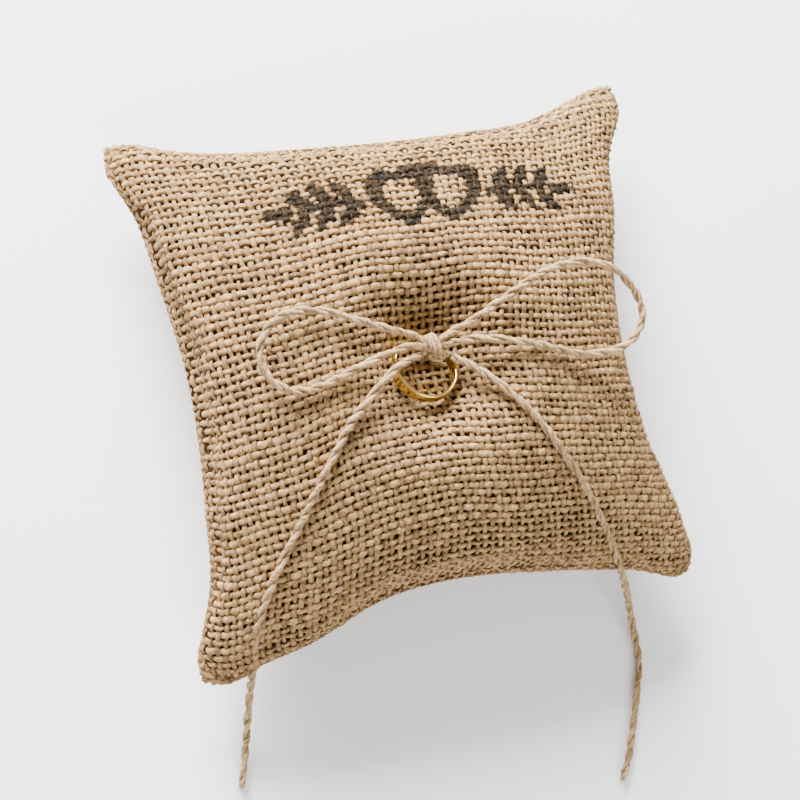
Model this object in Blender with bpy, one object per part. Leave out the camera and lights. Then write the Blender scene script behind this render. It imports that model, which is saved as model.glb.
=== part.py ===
"""Ring bearer pillow: a small stuffed hessian cushion that carries a gold ring under a twine bow.

The cushion lies on its back face. +Z is up through the crown, +Y runs towards the edge with the printed
ornament, and the origin is the middle of the cushion's footprint, on the surface that it lies on.

Each piece is its own closed mesh: two cover panels, two lining panels, the filling, the seam threads, the
cord that dimples the middle, the stitch that anchors it, the knot, two bow loops, two tails and the ring.
"""
import math

import bpy
import bmesh
import numpy as np
from mathutils import Matrix, Vector

# ---------------------------------------------------------------- driving dimensions, in metres
HALF_WIDTH = 0.075            # middle of the cushion to the line through two corners
EDGE_SAG = {"left": 0.011, "right": 0.012, "top": 0.011, "bottom": 0.014}   # how far each side pulls in
SEAM_HEIGHT_MID = 0.023       # height of the seam halfway along a side
SEAM_HEIGHT_CORNER = 0.014    # height of the seam at a corner
CROWN_RISE = 0.030            # undimpled crown above the seam's level
FULLNESS = 0.52               # exponent of the swell; smaller is fuller towards the seam

COVER_THICKNESS = 0.0014      # one layer of hessian
LINING_THICKNESS = 0.0006     # one layer of the inner bag
LAYER_GAP = 0.0005            # between neighbouring layers, measured upright
SEAM_ROOM = 0.0016            # width left for the seam threads between the cover and the inner bag
MEETING_GAP = 0.0003          # between two pieces that touch

TUFT_CENTRE = (-0.001, 0.002)     # where the tuft cord passes through
DIMPLE_DEPTH = 0.016
DIMPLE_SPREAD = 0.017
BACK_DIMPLE_DEPTH = 0.007
BACK_DIMPLE_RADIUS = 0.014

SEAM_THREAD_RADIUS = 0.00012
TWINE_RADIUS = 0.0011
TUFT_CORD_RADIUS = 0.0010
TUFT_BORE_CLEARANCE = 0.0005
BACK_STITCH_LENGTH = 0.0072
BACK_STITCH_RADIUS = 0.0012

RING_OUTER_RADIUS = 0.0092
RING_WALL = 0.00085
RING_BAND_HEIGHT = 0.0035
RING_EDGE_ROUND = 0.00025
RING_TILT = math.radians(23.0)          # leans up the slope of the dimple
RING_DIRECTION = math.radians(-125.0)   # which way it lies from the tuft cord
RING_SWING = (math.radians(-12.0), math.radians(30.0))
RING_CLEARANCE = 0.0004

KNOT_OFFSET = (0.0002, 0.0009)          # knot's middle, from the tuft cord
KNOT_RADII = (0.0036, 0.0040, 0.0029)

GRID_CELLS = 18               # cells along a side of a panel
GRID_CROWDING = 0.5           # 0 spaces them evenly, more crowds them at the middle and the edges
LOOP_POINT_SPACING = 2.4 * 2 * TWINE_RADIUS

# ---------------------------------------------------------------- routes of the twine, in metres
LEFT_LOOP_ROUTE = [
    (-0.0060, 0.0064, 0.0470), (-0.0100, 0.0080, 0.0484), (-0.0150, 0.0098, 0.0498), (-0.0212, 0.0124, 0.0510),
    (-0.0294, 0.0160, 0.0515), (-0.0376, 0.0174, 0.0507), (-0.0440, 0.0152, 0.0493), (-0.0478, 0.0096, 0.0481),
    (-0.0474, 0.0030, 0.0478), (-0.0434, -0.0018, 0.0484), (-0.0380, -0.0034, 0.0494), (-0.0308, -0.0022, 0.0506),
    (-0.0232, 0.0004, 0.0510), (-0.0160, 0.0024, 0.0500), (-0.0106, 0.0035, 0.0486), (-0.0069, 0.0039, 0.0473)]
RIGHT_LOOP_ROUTE = [
    (0.0042, 0.0060, 0.0470), (0.0100, 0.0080, 0.0490), (0.0186, 0.0120, 0.0518), (0.0283, 0.0166, 0.0532),
    (0.0368, 0.0188, 0.0529), (0.0450, 0.0187, 0.0519), (0.0526, 0.0156, 0.0505), (0.0578, 0.0090, 0.0491),
    (0.0592, 0.0026, 0.0481), (0.0568, -0.0024, 0.0476), (0.0514, -0.0056, 0.0477), (0.0410, -0.0060, 0.0490),
    (0.0330, -0.0038, 0.0504), (0.0250, -0.0008, 0.0512), (0.0156, 0.0020, 0.0506), (0.0098, 0.0032, 0.0488),
    (0.0057, 0.0034, 0.0472)]
LEFT_TAIL_ROUTE = [
    (-0.0050, 0.0016, 0.0462), (-0.0098, 0.0000, 0.0488), (-0.0146, -0.0022, 0.0512), (-0.0192, -0.0056, 0.0518),
    (-0.0240, -0.0099, 0.0513), (-0.0287, -0.0144, 0.0502), (-0.0330, -0.0206, 0.0484), (-0.0386, -0.0286, 0.0455),
    (-0.0442, -0.0370, 0.0419), (-0.0502, -0.0462, 0.0371), (-0.0550, -0.0548, 0.0324), (-0.0579, -0.0618, 0.0282),
    (-0.0592, -0.0676, 0.0246), (-0.0600, -0.0724, 0.0206), (-0.0606, -0.0768, 0.0156), (-0.0611, -0.0810, 0.0104),
    (-0.0616, -0.0854, 0.0060), (-0.0624, -0.0904, 0.0030), (-0.0636, -0.0960, 0.0017), (-0.0650, -0.1014, 0.0014),
    (-0.0666, -0.1066, 0.0014)]
RIGHT_TAIL_ROUTE = [
    (0.0034, -0.0002, 0.0458), (0.0066, -0.0026, 0.0474), (0.0112, -0.0070, 0.0492), (0.0162, -0.0124, 0.0503),
    (0.0216, -0.0192, 0.0503), (0.0284, -0.0300, 0.0479), (0.0350, -0.0412, 0.0431), (0.0398, -0.0508, 0.0380),
    (0.0438, -0.0590, 0.0324), (0.0468, -0.0650, 0.0268), (0.0496, -0.0702, 0.0212), (0.0522, -0.0748, 0.0148),
    (0.0544, -0.0794, 0.0088), (0.0560, -0.0844, 0.0044), (0.0570, -0.0900, 0.0022), (0.0571, -0.0956, 0.0015),
    (0.0561, -0.1004, 0.0014), (0.0538, -0.1078, 0.0014), (0.0512, -0.1152, 0.0014), (0.0484, -0.1226, 0.0014),
    (0.0452, -0.1290, 0.0014)]

# ---------------------------------------------------------------- worked out from the above
LINING_FACE_DEPTH = COVER_THICKNESS + LAYER_GAP
LINING_EDGE_DEPTH = COVER_THICKNESS + SEAM_ROOM
FILLING_FACE_DEPTH = LINING_FACE_DEPTH + LINING_THICKNESS + LAYER_GAP
FILLING_EDGE_DEPTH = LINING_EDGE_DEPTH + LINING_THICKNESS + LAYER_GAP
SEAM_THREAD_DEPTH = COVER_THICKNESS + SEAM_ROOM / 2
TUFT_BORE_RADIUS = TUFT_CORD_RADIUS + TUFT_BORE_CLEARANCE
RING_INNER_RADIUS = RING_OUTER_RADIUS - RING_WALL


# ---------------------------------------------------------------- scene helpers
def clear_scene():
    """Remove every object that the file opened with."""
    for old in list(bpy.data.objects):
        bpy.data.objects.remove(old, do_unlink=True)


def principled(name, colour, roughness, metallic=0.0):
    """A plain Principled BSDF material."""
    material = bpy.data.materials.new(name)
    material.use_nodes = True
    shader = material.node_tree.nodes["Principled BSDF"]
    shader.inputs["Base Color"].default_value = (*colour, 1.0)
    shader.inputs["Roughness"].default_value = roughness
    shader.inputs["Metallic"].default_value = metallic
    return material


def add_object(name, mesh, material, origin=(0.0, 0.0, 0.0)):
    """Link a mesh whose vertices are in world space, as an object whose origin is at the given point."""
    mesh.transform(Matrix.Translation(-Vector(origin)))
    mesh.materials.append(material)
    piece = bpy.data.objects.new(name, mesh)
    piece.location = origin
    bpy.context.scene.collection.objects.link(piece)
    return piece


def smooth_shade(mesh, sharp_angle=40.0):
    """Shade smooth, with creases left sharp."""
    mesh.shade_smooth()
    mesh.set_sharp_from_angle(angle=math.radians(sharp_angle))


# ---------------------------------------------------------------- the cushion's surface
def side_parameters():
    """Values from -1 to 1 along a side, crowded at the middle and at both ends."""
    even = np.linspace(-1.0, 1.0, GRID_CELLS + 1)
    return even - GRID_CROWDING * np.sin(2.0 * math.pi * even) / (2.0 * math.pi)


def outline(s, t, edge_depth=0.0):
    """Plan position at parameters s and t: a square whose four sides pull in, less a depth under the edge."""
    sag_x = (EDGE_SAG["left"] + EDGE_SAG["right"]) / 2 + (EDGE_SAG["right"] - EDGE_SAG["left"]) / 2 * s
    sag_y = (EDGE_SAG["bottom"] + EDGE_SAG["top"]) / 2 + (EDGE_SAG["top"] - EDGE_SAG["bottom"]) / 2 * t
    x = s * (HALF_WIDTH - edge_depth - sag_x * (1.0 - t ** 2))
    y = t * (HALF_WIDTH - edge_depth - sag_y * (1.0 - s ** 2))
    return x, y


def seam_level(s, t):
    """Height of the middle surface, which meets the seam at the sides and drops at the corners."""
    return SEAM_HEIGHT_CORNER + (SEAM_HEIGHT_MID - SEAM_HEIGHT_CORNER) * (1.0 - s ** 2 * t ** 2)


def swell(s, t):
    """Share of the full rise: 1 in the middle, 0 at the seam."""
    return np.maximum((1.0 - s ** 2) * (1.0 - t ** 2), 0.0) ** FULLNESS


def tuft_distance(x, y):
    """Distance in plan from the tuft cord."""
    return np.hypot(x - TUFT_CENTRE[0], y - TUFT_CENTRE[1])


def front_height(s, t, x, y, face_depth=0.0):
    """Height of the front face, or of a layer that lies a depth under it."""
    dimple = DIMPLE_DEPTH * np.exp(-(tuft_distance(x, y) / DIMPLE_SPREAD) ** 2) * np.minimum(swell(s, t) * 4, 1)
    return seam_level(s, t) + MEETING_GAP / 2 + (CROWN_RISE - face_depth) * swell(s, t) - dimple


def back_height(s, t, x, y, face_depth=0.0):
    """Height of the back face, flat where the cushion rests, or of a layer that lies a depth inside it."""
    belly = seam_level(s, t) - MEETING_GAP / 2 - (CROWN_RISE - face_depth) * swell(s, t)
    reach = np.minimum(tuft_distance(x, y) / BACK_DIMPLE_RADIUS, 1.0)
    return np.maximum(belly, face_depth) + BACK_DIMPLE_DEPTH * (1.0 - reach ** 2) ** 2


def front_height_at(x, y):
    """Height of the front face above a plan position near the middle, found by fixed-point steps."""
    s, t = x / HALF_WIDTH, y / HALF_WIDTH
    for _ in range(40):
        full_x, full_y = outline(s, t)
        s = s * np.where(np.abs(full_x) > 1e-9, x / np.where(np.abs(full_x) > 1e-9, full_x, 1.0), 1.0)
        t = t * np.where(np.abs(full_y) > 1e-9, y / np.where(np.abs(full_y) > 1e-9, full_y, 1.0), 1.0)
    return front_height(s, t, x, y)


def layer_points(height, edge_depth, face_depth):
    """Grid of points, one row for each value of t, on one face of one layer."""
    s, t = np.meshgrid(side_parameters(), side_parameters())
    x, y = outline(s, t, edge_depth)
    return np.stack([x, y, height(s, t, x, y, face_depth)], axis=-1)


def sheet_triangles(count):
    """Triangles of a grid that face up, every square split along the diagonal that points at the middle."""
    rows, columns = np.meshgrid(np.arange(count - 1), np.arange(count - 1), indexing="ij")
    near = (rows * count + columns).reshape(-1)
    side, across, up = near + 1, near + count + 1, near + count
    rising = ((rows < (count - 1) / 2) == (columns < (count - 1) / 2)).reshape(-1, 1)
    first = np.where(rising, np.stack([near, side, across], axis=-1), np.stack([near, side, up], axis=-1))
    second = np.where(rising, np.stack([near, across, up], axis=-1), np.stack([side, across, up], axis=-1))
    return np.concatenate([first, second])


def border_indices(count):
    """Indices of a grid's outer points, anticlockwise seen from above."""
    step = np.arange(count - 1)
    last = count - 1
    return np.concatenate([step, step * count + last, last * count + last - step, (last - step) * count])


def closed_mesh(name, upper, lower, shared_border, upside_down=False):
    """Closed mesh between two grids, whose borders are one line or are joined by a rim."""
    count = upper.shape[0]
    size = count * count
    faces = sheet_triangles(count)
    parts = [faces, faces[:, ::-1] + size]
    if not shared_border:
        here = border_indices(count)
        following = np.roll(here, -1)
        parts.append(np.stack([following, here, here + size], axis=-1))
        parts.append(np.stack([following, here + size, following + size], axis=-1))
    triangles = np.concatenate(parts)
    if upside_down:
        triangles = triangles[:, ::-1]
    mesh = bpy.data.meshes.new(name)
    mesh.from_pydata(np.concatenate([upper.reshape(-1, 3), lower.reshape(-1, 3)]).tolist(), [], triangles.tolist())
    if shared_border:
        weld_close_points(mesh)
    smooth_shade(mesh)
    return mesh


def weld_close_points(mesh):
    """Join points that lie on each other."""
    builder = bmesh.new()
    builder.from_mesh(mesh)
    bmesh.ops.remove_doubles(builder, verts=builder.verts, dist=1e-6)
    builder.to_mesh(mesh)
    builder.free()


# ---------------------------------------------------------------- cushion pieces
def tuft_cutter():
    """Cylinder that opens the tuft cord's way through every layer."""
    builder = bmesh.new()
    height = 2 * (SEAM_HEIGHT_MID + CROWN_RISE)
    bmesh.ops.create_cone(builder, cap_ends=True, segments=16, radius1=TUFT_BORE_RADIUS,
                          radius2=TUFT_BORE_RADIUS, depth=height,
                          matrix=Matrix.Translation((*TUFT_CENTRE, SEAM_HEIGHT_MID)))
    mesh = bpy.data.meshes.new("tuft_cutter")
    builder.to_mesh(mesh)
    builder.free()
    cutter = bpy.data.objects.new("tuft_cutter", mesh)
    bpy.context.scene.collection.objects.link(cutter)
    cutter.hide_render = True
    cutter.display_type = "WIRE"
    return cutter


def cut_tuft_bore(piece, cutter):
    """Open the tuft cord's way through one layer."""
    cut = piece.modifiers.new("tuft_bore", "BOOLEAN")
    cut.operation = "DIFFERENCE"
    cut.solver = "EXACT"
    cut.object = cutter


def make_panel(name, height, edge_depth, face_depth, thickness, material, cutter):
    """One stitched panel, of even thickness, on the front or the back."""
    outer = layer_points(height, edge_depth, face_depth)
    inner = layer_points(height, edge_depth + thickness, face_depth + thickness)
    mesh = closed_mesh(name, outer, inner, shared_border=False, upside_down=height is back_height)
    panel = add_object(name, mesh, material)
    cut_tuft_bore(panel, cutter)
    return panel


def make_filling(material, cutter):
    """The stuffing, one soft solid inside the inner bag."""
    top = layer_points(front_height, FILLING_EDGE_DEPTH, FILLING_FACE_DEPTH)
    base = layer_points(back_height, FILLING_EDGE_DEPTH, FILLING_FACE_DEPTH)
    s, t = np.meshgrid(side_parameters(), side_parameters())
    at_seam = np.maximum(np.abs(s), np.abs(t)) > 1.0 - 1e-9
    for grid in (top, base):
        grid[at_seam, 2] = seam_level(s, t)[at_seam]
    filling = add_object("filling", closed_mesh("filling", top, base, shared_border=True), material)
    cut_tuft_bore(filling, cutter)
    return filling


# ---------------------------------------------------------------- twine and threads
def resampled(points, spacing):
    """Points a fixed distance apart along a smooth curve through the given ones."""
    knots = [Vector(point) for point in points]
    knots = [2 * knots[0] - knots[1]] + knots + [2 * knots[-1] - knots[-2]]
    dense = []
    for index in range(1, len(knots) - 2):
        before, start, end, after = knots[index - 1:index + 3]
        for step in range(12):
            u = step / 12
            dense.append(0.5 * (2 * start + (end - before) * u + (2 * before - 5 * start + 4 * end - after) * u ** 2
                                + (3 * start - before - 3 * end + after) * u ** 3))
    dense.append(knots[-2])
    dense = np.array([tuple(point) for point in dense])
    travelled = np.concatenate([[0.0], np.cumsum(np.linalg.norm(np.diff(dense, axis=0), axis=1))])
    count = max(2, round(travelled[-1] / spacing) + 1)
    stations = np.linspace(0.0, travelled[-1], count)
    return np.stack([np.interp(stations, travelled, dense[:, axis]) for axis in range(3)], axis=-1)


def make_tube(name, points, radius, material, origin=(0.0, 0.0, 0.0)):
    """Round cord along the given points, with closed ends."""
    curve = bpy.data.curves.new(name, "CURVE")
    curve.dimensions = "3D"
    curve.bevel_depth = radius
    curve.bevel_resolution = 2
    curve.use_fill_caps = True
    spline = curve.splines.new("POLY")
    spline.points.add(len(points) - 1)
    for target, point in zip(spline.points, points):
        target.co = (*(Vector(point) - Vector(origin)), 1.0)
    curve.materials.append(material)
    tube = bpy.data.objects.new(name, curve)
    tube.location = origin
    bpy.context.scene.collection.objects.link(tube)
    return tube


def seam_points(s, t):
    """Points on the seam line, under the cover's edge, for arrays of s and t."""
    s, t = np.broadcast_arrays(np.asarray(s, float), np.asarray(t, float))
    x, y = outline(s, t, SEAM_THREAD_DEPTH)
    return list(zip(x, y, seam_level(s, t)))


def make_seam_threads(material):
    """The machine seam round three sides, and the closing stitches along the fourth."""
    side = side_parameters()
    machine = (seam_points(-1.0, side[1:]) + seam_points(side[1:], 1.0) + seam_points(1.0, side[-2:0:-1]))
    make_tube("seam_thread", machine, SEAM_THREAD_RADIUS, material)
    make_tube("closing_thread", seam_points(side[1:-1], -1.0), SEAM_THREAD_RADIUS, material)


# ---------------------------------------------------------------- ring
def ring_frame(swing=0.0):
    """Unit vectors of the ring at rest or swung: along its lean, across it, and along its own axis."""
    heading = RING_DIRECTION + swing
    outwards = Vector((math.cos(heading), math.sin(heading), 0.0))
    lean = outwards * math.cos(RING_TILT) + Vector((0.0, 0.0, math.sin(RING_TILT)))
    across = Vector((-math.sin(heading), math.cos(heading), 0.0))
    return lean, across, lean.cross(across).normalized()


def ring_offset():
    """How far the ring's middle lies from the tuft cord, with the cord just clear inside the band."""
    hole_reach = RING_INNER_RADIUS * math.cos(RING_TILT) - RING_BAND_HEIGHT / 2 * math.sin(RING_TILT)
    return hole_reach - TUFT_CORD_RADIUS - RING_CLEARANCE


def ring_centre():
    """Middle of the band: as low as it goes while its lower rim clears the dimple at every swing."""
    angle = np.linspace(0.0, 2.0 * math.pi, 73)
    highest = 0.0
    for swing in np.linspace(*RING_SWING, 7):
        lean, across, axis = (np.array(vector) for vector in ring_frame(swing))
        heading = RING_DIRECTION + swing
        middle = np.array([TUFT_CENTRE[0] + ring_offset() * math.cos(heading),
                           TUFT_CENTRE[1] + ring_offset() * math.sin(heading), 0.0])
        for radius in (RING_OUTER_RADIUS, RING_INNER_RADIUS):
            rim = (middle + radius * np.outer(np.cos(angle), lean) + radius * np.outer(np.sin(angle), across)
                   - axis * RING_BAND_HEIGHT / 2)
            highest = max(highest, float(np.max(front_height_at(rim[:, 0], rim[:, 1]) - rim[:, 2])))
    return Vector((TUFT_CENTRE[0] + ring_offset() * math.cos(RING_DIRECTION),
                   TUFT_CENTRE[1] + ring_offset() * math.sin(RING_DIRECTION),
                   highest + RING_CLEARANCE / math.cos(RING_TILT)))


def make_ring(material):
    """A plain band, spun from its section, lying in the dimple with the tuft cord through it."""
    centre = ring_centre()
    lean, across, axis = ring_frame()
    builder = bmesh.new()
    half = RING_BAND_HEIGHT / 2
    section = [(RING_INNER_RADIUS, -half), (RING_OUTER_RADIUS, -half), (RING_OUTER_RADIUS, half),
               (RING_INNER_RADIUS, half)]
    verts = [builder.verts.new((radius, 0.0, height)) for radius, height in section]
    edges = [builder.edges.new((verts[index], verts[(index + 1) % 4])) for index in range(4)]
    bmesh.ops.spin(builder, geom=verts + edges, axis=(0, 0, 1), cent=(0, 0, 0), angle=2 * math.pi,
                   steps=48, use_merge=True)
    bmesh.ops.remove_doubles(builder, verts=builder.verts, dist=1e-7)
    bmesh.ops.recalc_face_normals(builder, faces=builder.faces)
    mesh = bpy.data.meshes.new("ring")
    builder.to_mesh(mesh)
    builder.free()
    place = Matrix((lean, across, axis)).transposed().to_4x4()
    place.translation = centre
    mesh.transform(place)
    smooth_shade(mesh)
    ring = add_object("ring", mesh, material, origin=(*TUFT_CENTRE, centre.z))
    bevel = ring.modifiers.new("rounded_edges", "BEVEL")
    bevel.width = min(RING_EDGE_ROUND, RING_WALL * 0.3)
    bevel.segments = 2
    bevel.limit_method = "ANGLE"
    return ring


def ring_top_near(reach):
    """Highest point of the ring within a plan distance of the tuft cord."""
    lean, across, axis = (np.array(vector) for vector in ring_frame())
    angle = np.linspace(0.0, 2.0 * math.pi, 145)
    rim = (np.array(ring_centre()) + RING_OUTER_RADIUS * np.outer(np.cos(angle), lean)
           + RING_OUTER_RADIUS * np.outer(np.sin(angle), across) + axis * RING_BAND_HEIGHT / 2)
    near = tuft_distance(rim[:, 0], rim[:, 1]) <= reach
    return float(np.max(rim[near, 2]))


# ---------------------------------------------------------------- bow
def knot_centre():
    """Middle of the knot, just clear above the part of the ring that lies under it."""
    reach = max(KNOT_RADII[:2]) + math.hypot(*KNOT_OFFSET)
    return Vector((TUFT_CENTRE[0] + KNOT_OFFSET[0], TUFT_CENTRE[1] + KNOT_OFFSET[1],
                   ring_top_near(reach) + MEETING_GAP + KNOT_RADII[2]))


def make_knot(material):
    """The bow's knot, a rounded lump."""
    builder = bmesh.new()
    bmesh.ops.create_icosphere(builder, subdivisions=3, radius=1.0,
                               matrix=Matrix.Translation(knot_centre()) @ Matrix.Diagonal((*KNOT_RADII, 1.0)))
    mesh = bpy.data.meshes.new("bow_knot")
    builder.to_mesh(mesh)
    builder.free()
    smooth_shade(mesh, 80.0)
    return add_object("bow_knot", mesh, material)


def make_tuft(material):
    """The cord through the cushion, and the stitch that stops it at the back."""
    stitch_height = BACK_DIMPLE_DEPTH * 0.6
    bottom = stitch_height + BACK_STITCH_RADIUS + MEETING_GAP
    top = knot_centre().z - KNOT_RADII[2] - MEETING_GAP
    post = [(*TUFT_CENTRE, bottom + (top - bottom) * share) for share in np.linspace(0.0, 1.0, 9)]
    make_tube("tuft_cord", post, TUFT_CORD_RADIUS, material)
    half = BACK_STITCH_LENGTH / 2
    bar = [(TUFT_CENTRE[0] + half * share, TUFT_CENTRE[1], stitch_height) for share in np.linspace(-1.0, 1.0, 5)]
    make_tube("back_stitch", bar, BACK_STITCH_RADIUS, material)


def make_bow(material):
    """Two loops that lift about the knot, and two tails that lie over the front edge."""
    hub = tuple(knot_centre())
    make_tube("bow_loop_left", resampled(LEFT_LOOP_ROUTE, LOOP_POINT_SPACING), TWINE_RADIUS, material, hub)
    make_tube("bow_loop_right", resampled(RIGHT_LOOP_ROUTE, LOOP_POINT_SPACING), TWINE_RADIUS, material, hub)
    make_tube("tail_left", resampled(LEFT_TAIL_ROUTE, LOOP_POINT_SPACING), TWINE_RADIUS, material)
    make_tube("tail_right", resampled(RIGHT_TAIL_ROUTE, LOOP_POINT_SPACING), TWINE_RADIUS, material)


def main():
    """Build the whole pillow."""
    clear_scene()
    hessian = principled("hessian", (0.50, 0.36, 0.22), 0.9)
    calico = principled("calico", (0.30, 0.20, 0.12), 0.95)
    wadding = principled("wadding", (0.85, 0.84, 0.80), 1.0)
    thread = principled("thread", (0.45, 0.33, 0.20), 0.8)
    jute = principled("jute", (0.58, 0.45, 0.29), 0.85)
    gold = principled("gold", (0.93, 0.69, 0.27), 0.18, 1.0)

    cutter = tuft_cutter()
    make_panel("front_panel", front_height, 0.0, 0.0, COVER_THICKNESS, hessian, cutter)
    make_panel("back_panel", back_height, 0.0, 0.0, COVER_THICKNESS, hessian, cutter)
    make_panel("lining_front", front_height, LINING_EDGE_DEPTH, LINING_FACE_DEPTH, LINING_THICKNESS, calico, cutter)
    make_panel("lining_back", back_height, LINING_EDGE_DEPTH, LINING_FACE_DEPTH, LINING_THICKNESS, calico, cutter)
    make_filling(wadding, cutter)
    make_seam_threads(thread)
    make_ring(gold)
    make_knot(jute)
    make_tuft(jute)
    make_bow(jute)


main()
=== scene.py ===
"""Finished look of a ring bearer pillow: a stuffed hessian cushion that carries a gold ring under a twine bow.

The cushion lies on its back on a pale floor. Its cover is woven yarn by yarn over the shape that the cloth
takes when it is filled, over an inner bag and the filling; the bag's dark brown is painted shade for the gaps
of the weave. The ring, the bow's loops, its tails, its knot and the stitches are pieces of their own, and each
rides on the body that carries it.
"""
from __future__ import annotations

import logging
import math
from dataclasses import dataclass, field
from enum import Enum

import bpy
import numpy as np
from mathutils import Matrix, Vector


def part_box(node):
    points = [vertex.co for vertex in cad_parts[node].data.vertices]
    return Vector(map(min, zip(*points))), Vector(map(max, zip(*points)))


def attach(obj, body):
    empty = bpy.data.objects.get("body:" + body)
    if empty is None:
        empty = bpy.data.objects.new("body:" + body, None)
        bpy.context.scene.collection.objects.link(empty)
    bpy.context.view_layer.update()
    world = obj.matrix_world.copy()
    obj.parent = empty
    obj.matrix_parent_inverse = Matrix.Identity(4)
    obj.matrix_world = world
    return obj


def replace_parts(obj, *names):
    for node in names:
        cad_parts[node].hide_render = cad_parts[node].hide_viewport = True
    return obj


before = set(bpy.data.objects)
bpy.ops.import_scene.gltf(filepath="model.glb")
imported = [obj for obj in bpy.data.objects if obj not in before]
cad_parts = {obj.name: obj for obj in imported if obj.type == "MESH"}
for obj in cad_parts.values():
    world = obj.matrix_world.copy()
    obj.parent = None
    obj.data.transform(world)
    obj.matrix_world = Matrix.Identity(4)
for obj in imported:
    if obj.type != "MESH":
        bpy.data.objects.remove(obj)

logging.basicConfig(level=logging.INFO, format="%(message)s")
LOG = logging.getLogger("pillow")
MM = 0.001
CENTIMETRES = 100.0
UP = np.array([0.0, 0.0, 1.0])

# ---------------------------------------------------------------- routes of the twine, in metres
# Both ends of each loop's route lie inside the knot.
LEFT_LOOP_ROUTE = [
    (-0.0026, 0.0045, 0.0463), (-0.0060, 0.0064, 0.0470), (-0.0100, 0.0080, 0.0484),
    (-0.0150, 0.0098, 0.0498), (-0.0212, 0.0124, 0.0510), (-0.0294, 0.0160, 0.0515),
    (-0.0376, 0.0174, 0.0507), (-0.0440, 0.0152, 0.0493), (-0.0478, 0.0096, 0.0481),
    (-0.0474, 0.0030, 0.0478), (-0.0434, -0.0018, 0.0484), (-0.0380, -0.0034, 0.0494),
    (-0.0308, -0.0022, 0.0506), (-0.0232, 0.0004, 0.0510), (-0.0160, 0.0024, 0.0500),
    (-0.0106, 0.0035, 0.0486), (-0.0069, 0.0039, 0.0473), (-0.0026, 0.0032, 0.0462)]
RIGHT_LOOP_ROUTE = [
    (0.0010, 0.0044, 0.0463), (0.0042, 0.0060, 0.0470), (0.0100, 0.0080, 0.0490),
    (0.0186, 0.0120, 0.0518), (0.0283, 0.0166, 0.0532), (0.0368, 0.0188, 0.0529),
    (0.0450, 0.0187, 0.0519), (0.0526, 0.0156, 0.0505), (0.0578, 0.0090, 0.0491),
    (0.0592, 0.0026, 0.0481), (0.0568, -0.0024, 0.0476), (0.0514, -0.0056, 0.0477),
    (0.0410, -0.0060, 0.0490), (0.0330, -0.0038, 0.0504), (0.0250, -0.0008, 0.0512),
    (0.0156, 0.0020, 0.0506), (0.0098, 0.0032, 0.0488), (0.0057, 0.0034, 0.0472),
    (0.0014, 0.0030, 0.0462)]
LEFT_TAIL_ROUTE = [
    (-0.0050, 0.0016, 0.0462), (-0.0098, 0.0000, 0.0488), (-0.0146, -0.0022, 0.0512),
    (-0.0192, -0.0056, 0.0518), (-0.0240, -0.0099, 0.0513), (-0.0287, -0.0144, 0.0502),
    (-0.0330, -0.0206, 0.0484), (-0.0386, -0.0286, 0.0455), (-0.0442, -0.0370, 0.0419),
    (-0.0502, -0.0462, 0.0371), (-0.0550, -0.0548, 0.0324), (-0.0579, -0.0618, 0.0282),
    (-0.0592, -0.0676, 0.0246), (-0.0600, -0.0724, 0.0206), (-0.0606, -0.0768, 0.0156),
    (-0.0611, -0.0810, 0.0104), (-0.0616, -0.0854, 0.0060), (-0.0624, -0.0904, 0.0030),
    (-0.0636, -0.0960, 0.0017), (-0.0650, -0.1014, 0.0014), (-0.0666, -0.1066, 0.0014)]
RIGHT_TAIL_ROUTE = [
    (0.0034, -0.0002, 0.0458), (0.0066, -0.0026, 0.0474), (0.0112, -0.0070, 0.0492),
    (0.0162, -0.0124, 0.0503), (0.0216, -0.0192, 0.0503), (0.0284, -0.0300, 0.0479),
    (0.0350, -0.0412, 0.0431), (0.0398, -0.0508, 0.0380), (0.0438, -0.0590, 0.0324),
    (0.0468, -0.0650, 0.0268), (0.0496, -0.0702, 0.0212), (0.0522, -0.0748, 0.0148),
    (0.0544, -0.0794, 0.0088), (0.0560, -0.0844, 0.0044), (0.0570, -0.0900, 0.0022),
    (0.0571, -0.0956, 0.0015), (0.0561, -0.1004, 0.0014), (0.0538, -0.1078, 0.0014),
    (0.0512, -0.1152, 0.0014), (0.0484, -0.1226, 0.0014), (0.0452, -0.1290, 0.0014)]

# The knot's strands, in millimetres from its middle.
KNOT_STRANDS = [
    [(-4.6, 2.6, 1.0), (-2.2, 1.2, 0.3), (0.4, 0.2, 0.2), (2.4, 1.4, 0.6), (4.4, 2.6, 1.2)],
    [(-4.8, 0.9, 0.9), (-2.4, 0.2, 0.1), (0.2, -0.4, -0.4), (2.8, 0.2, 0.4), (5.4, 0.6, 1.1)],
    [(-3.8, -1.2, 0.6), (-1.8, -0.8, -0.5), (0.2, -0.9, -0.9), (2.2, -1.6, -0.4), (3.8, -2.8, 0.2)],
    [(-2.0, -1.6, -0.6), (-0.9, -2.9, -0.9), (0.6, -3.4, -0.8), (1.9, -2.7, -0.5), (1.4, -1.4, -0.2)]]


# ---------------------------------------------------------------- vectors and curves
def unit(vectors: np.ndarray) -> np.ndarray:
    """Vectors divided by their lengths."""
    return vectors / np.maximum(np.linalg.norm(vectors, axis=-1, keepdims=True), 1e-12)


def travelled(points: np.ndarray) -> np.ndarray:
    """Distance gone along each line of points, from its first one."""
    steps = np.linalg.norm(np.diff(points, axis=-2), axis=-1)
    return np.concatenate([np.zeros_like(steps[..., :1]), np.cumsum(steps, axis=-1)], axis=-1)


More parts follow.
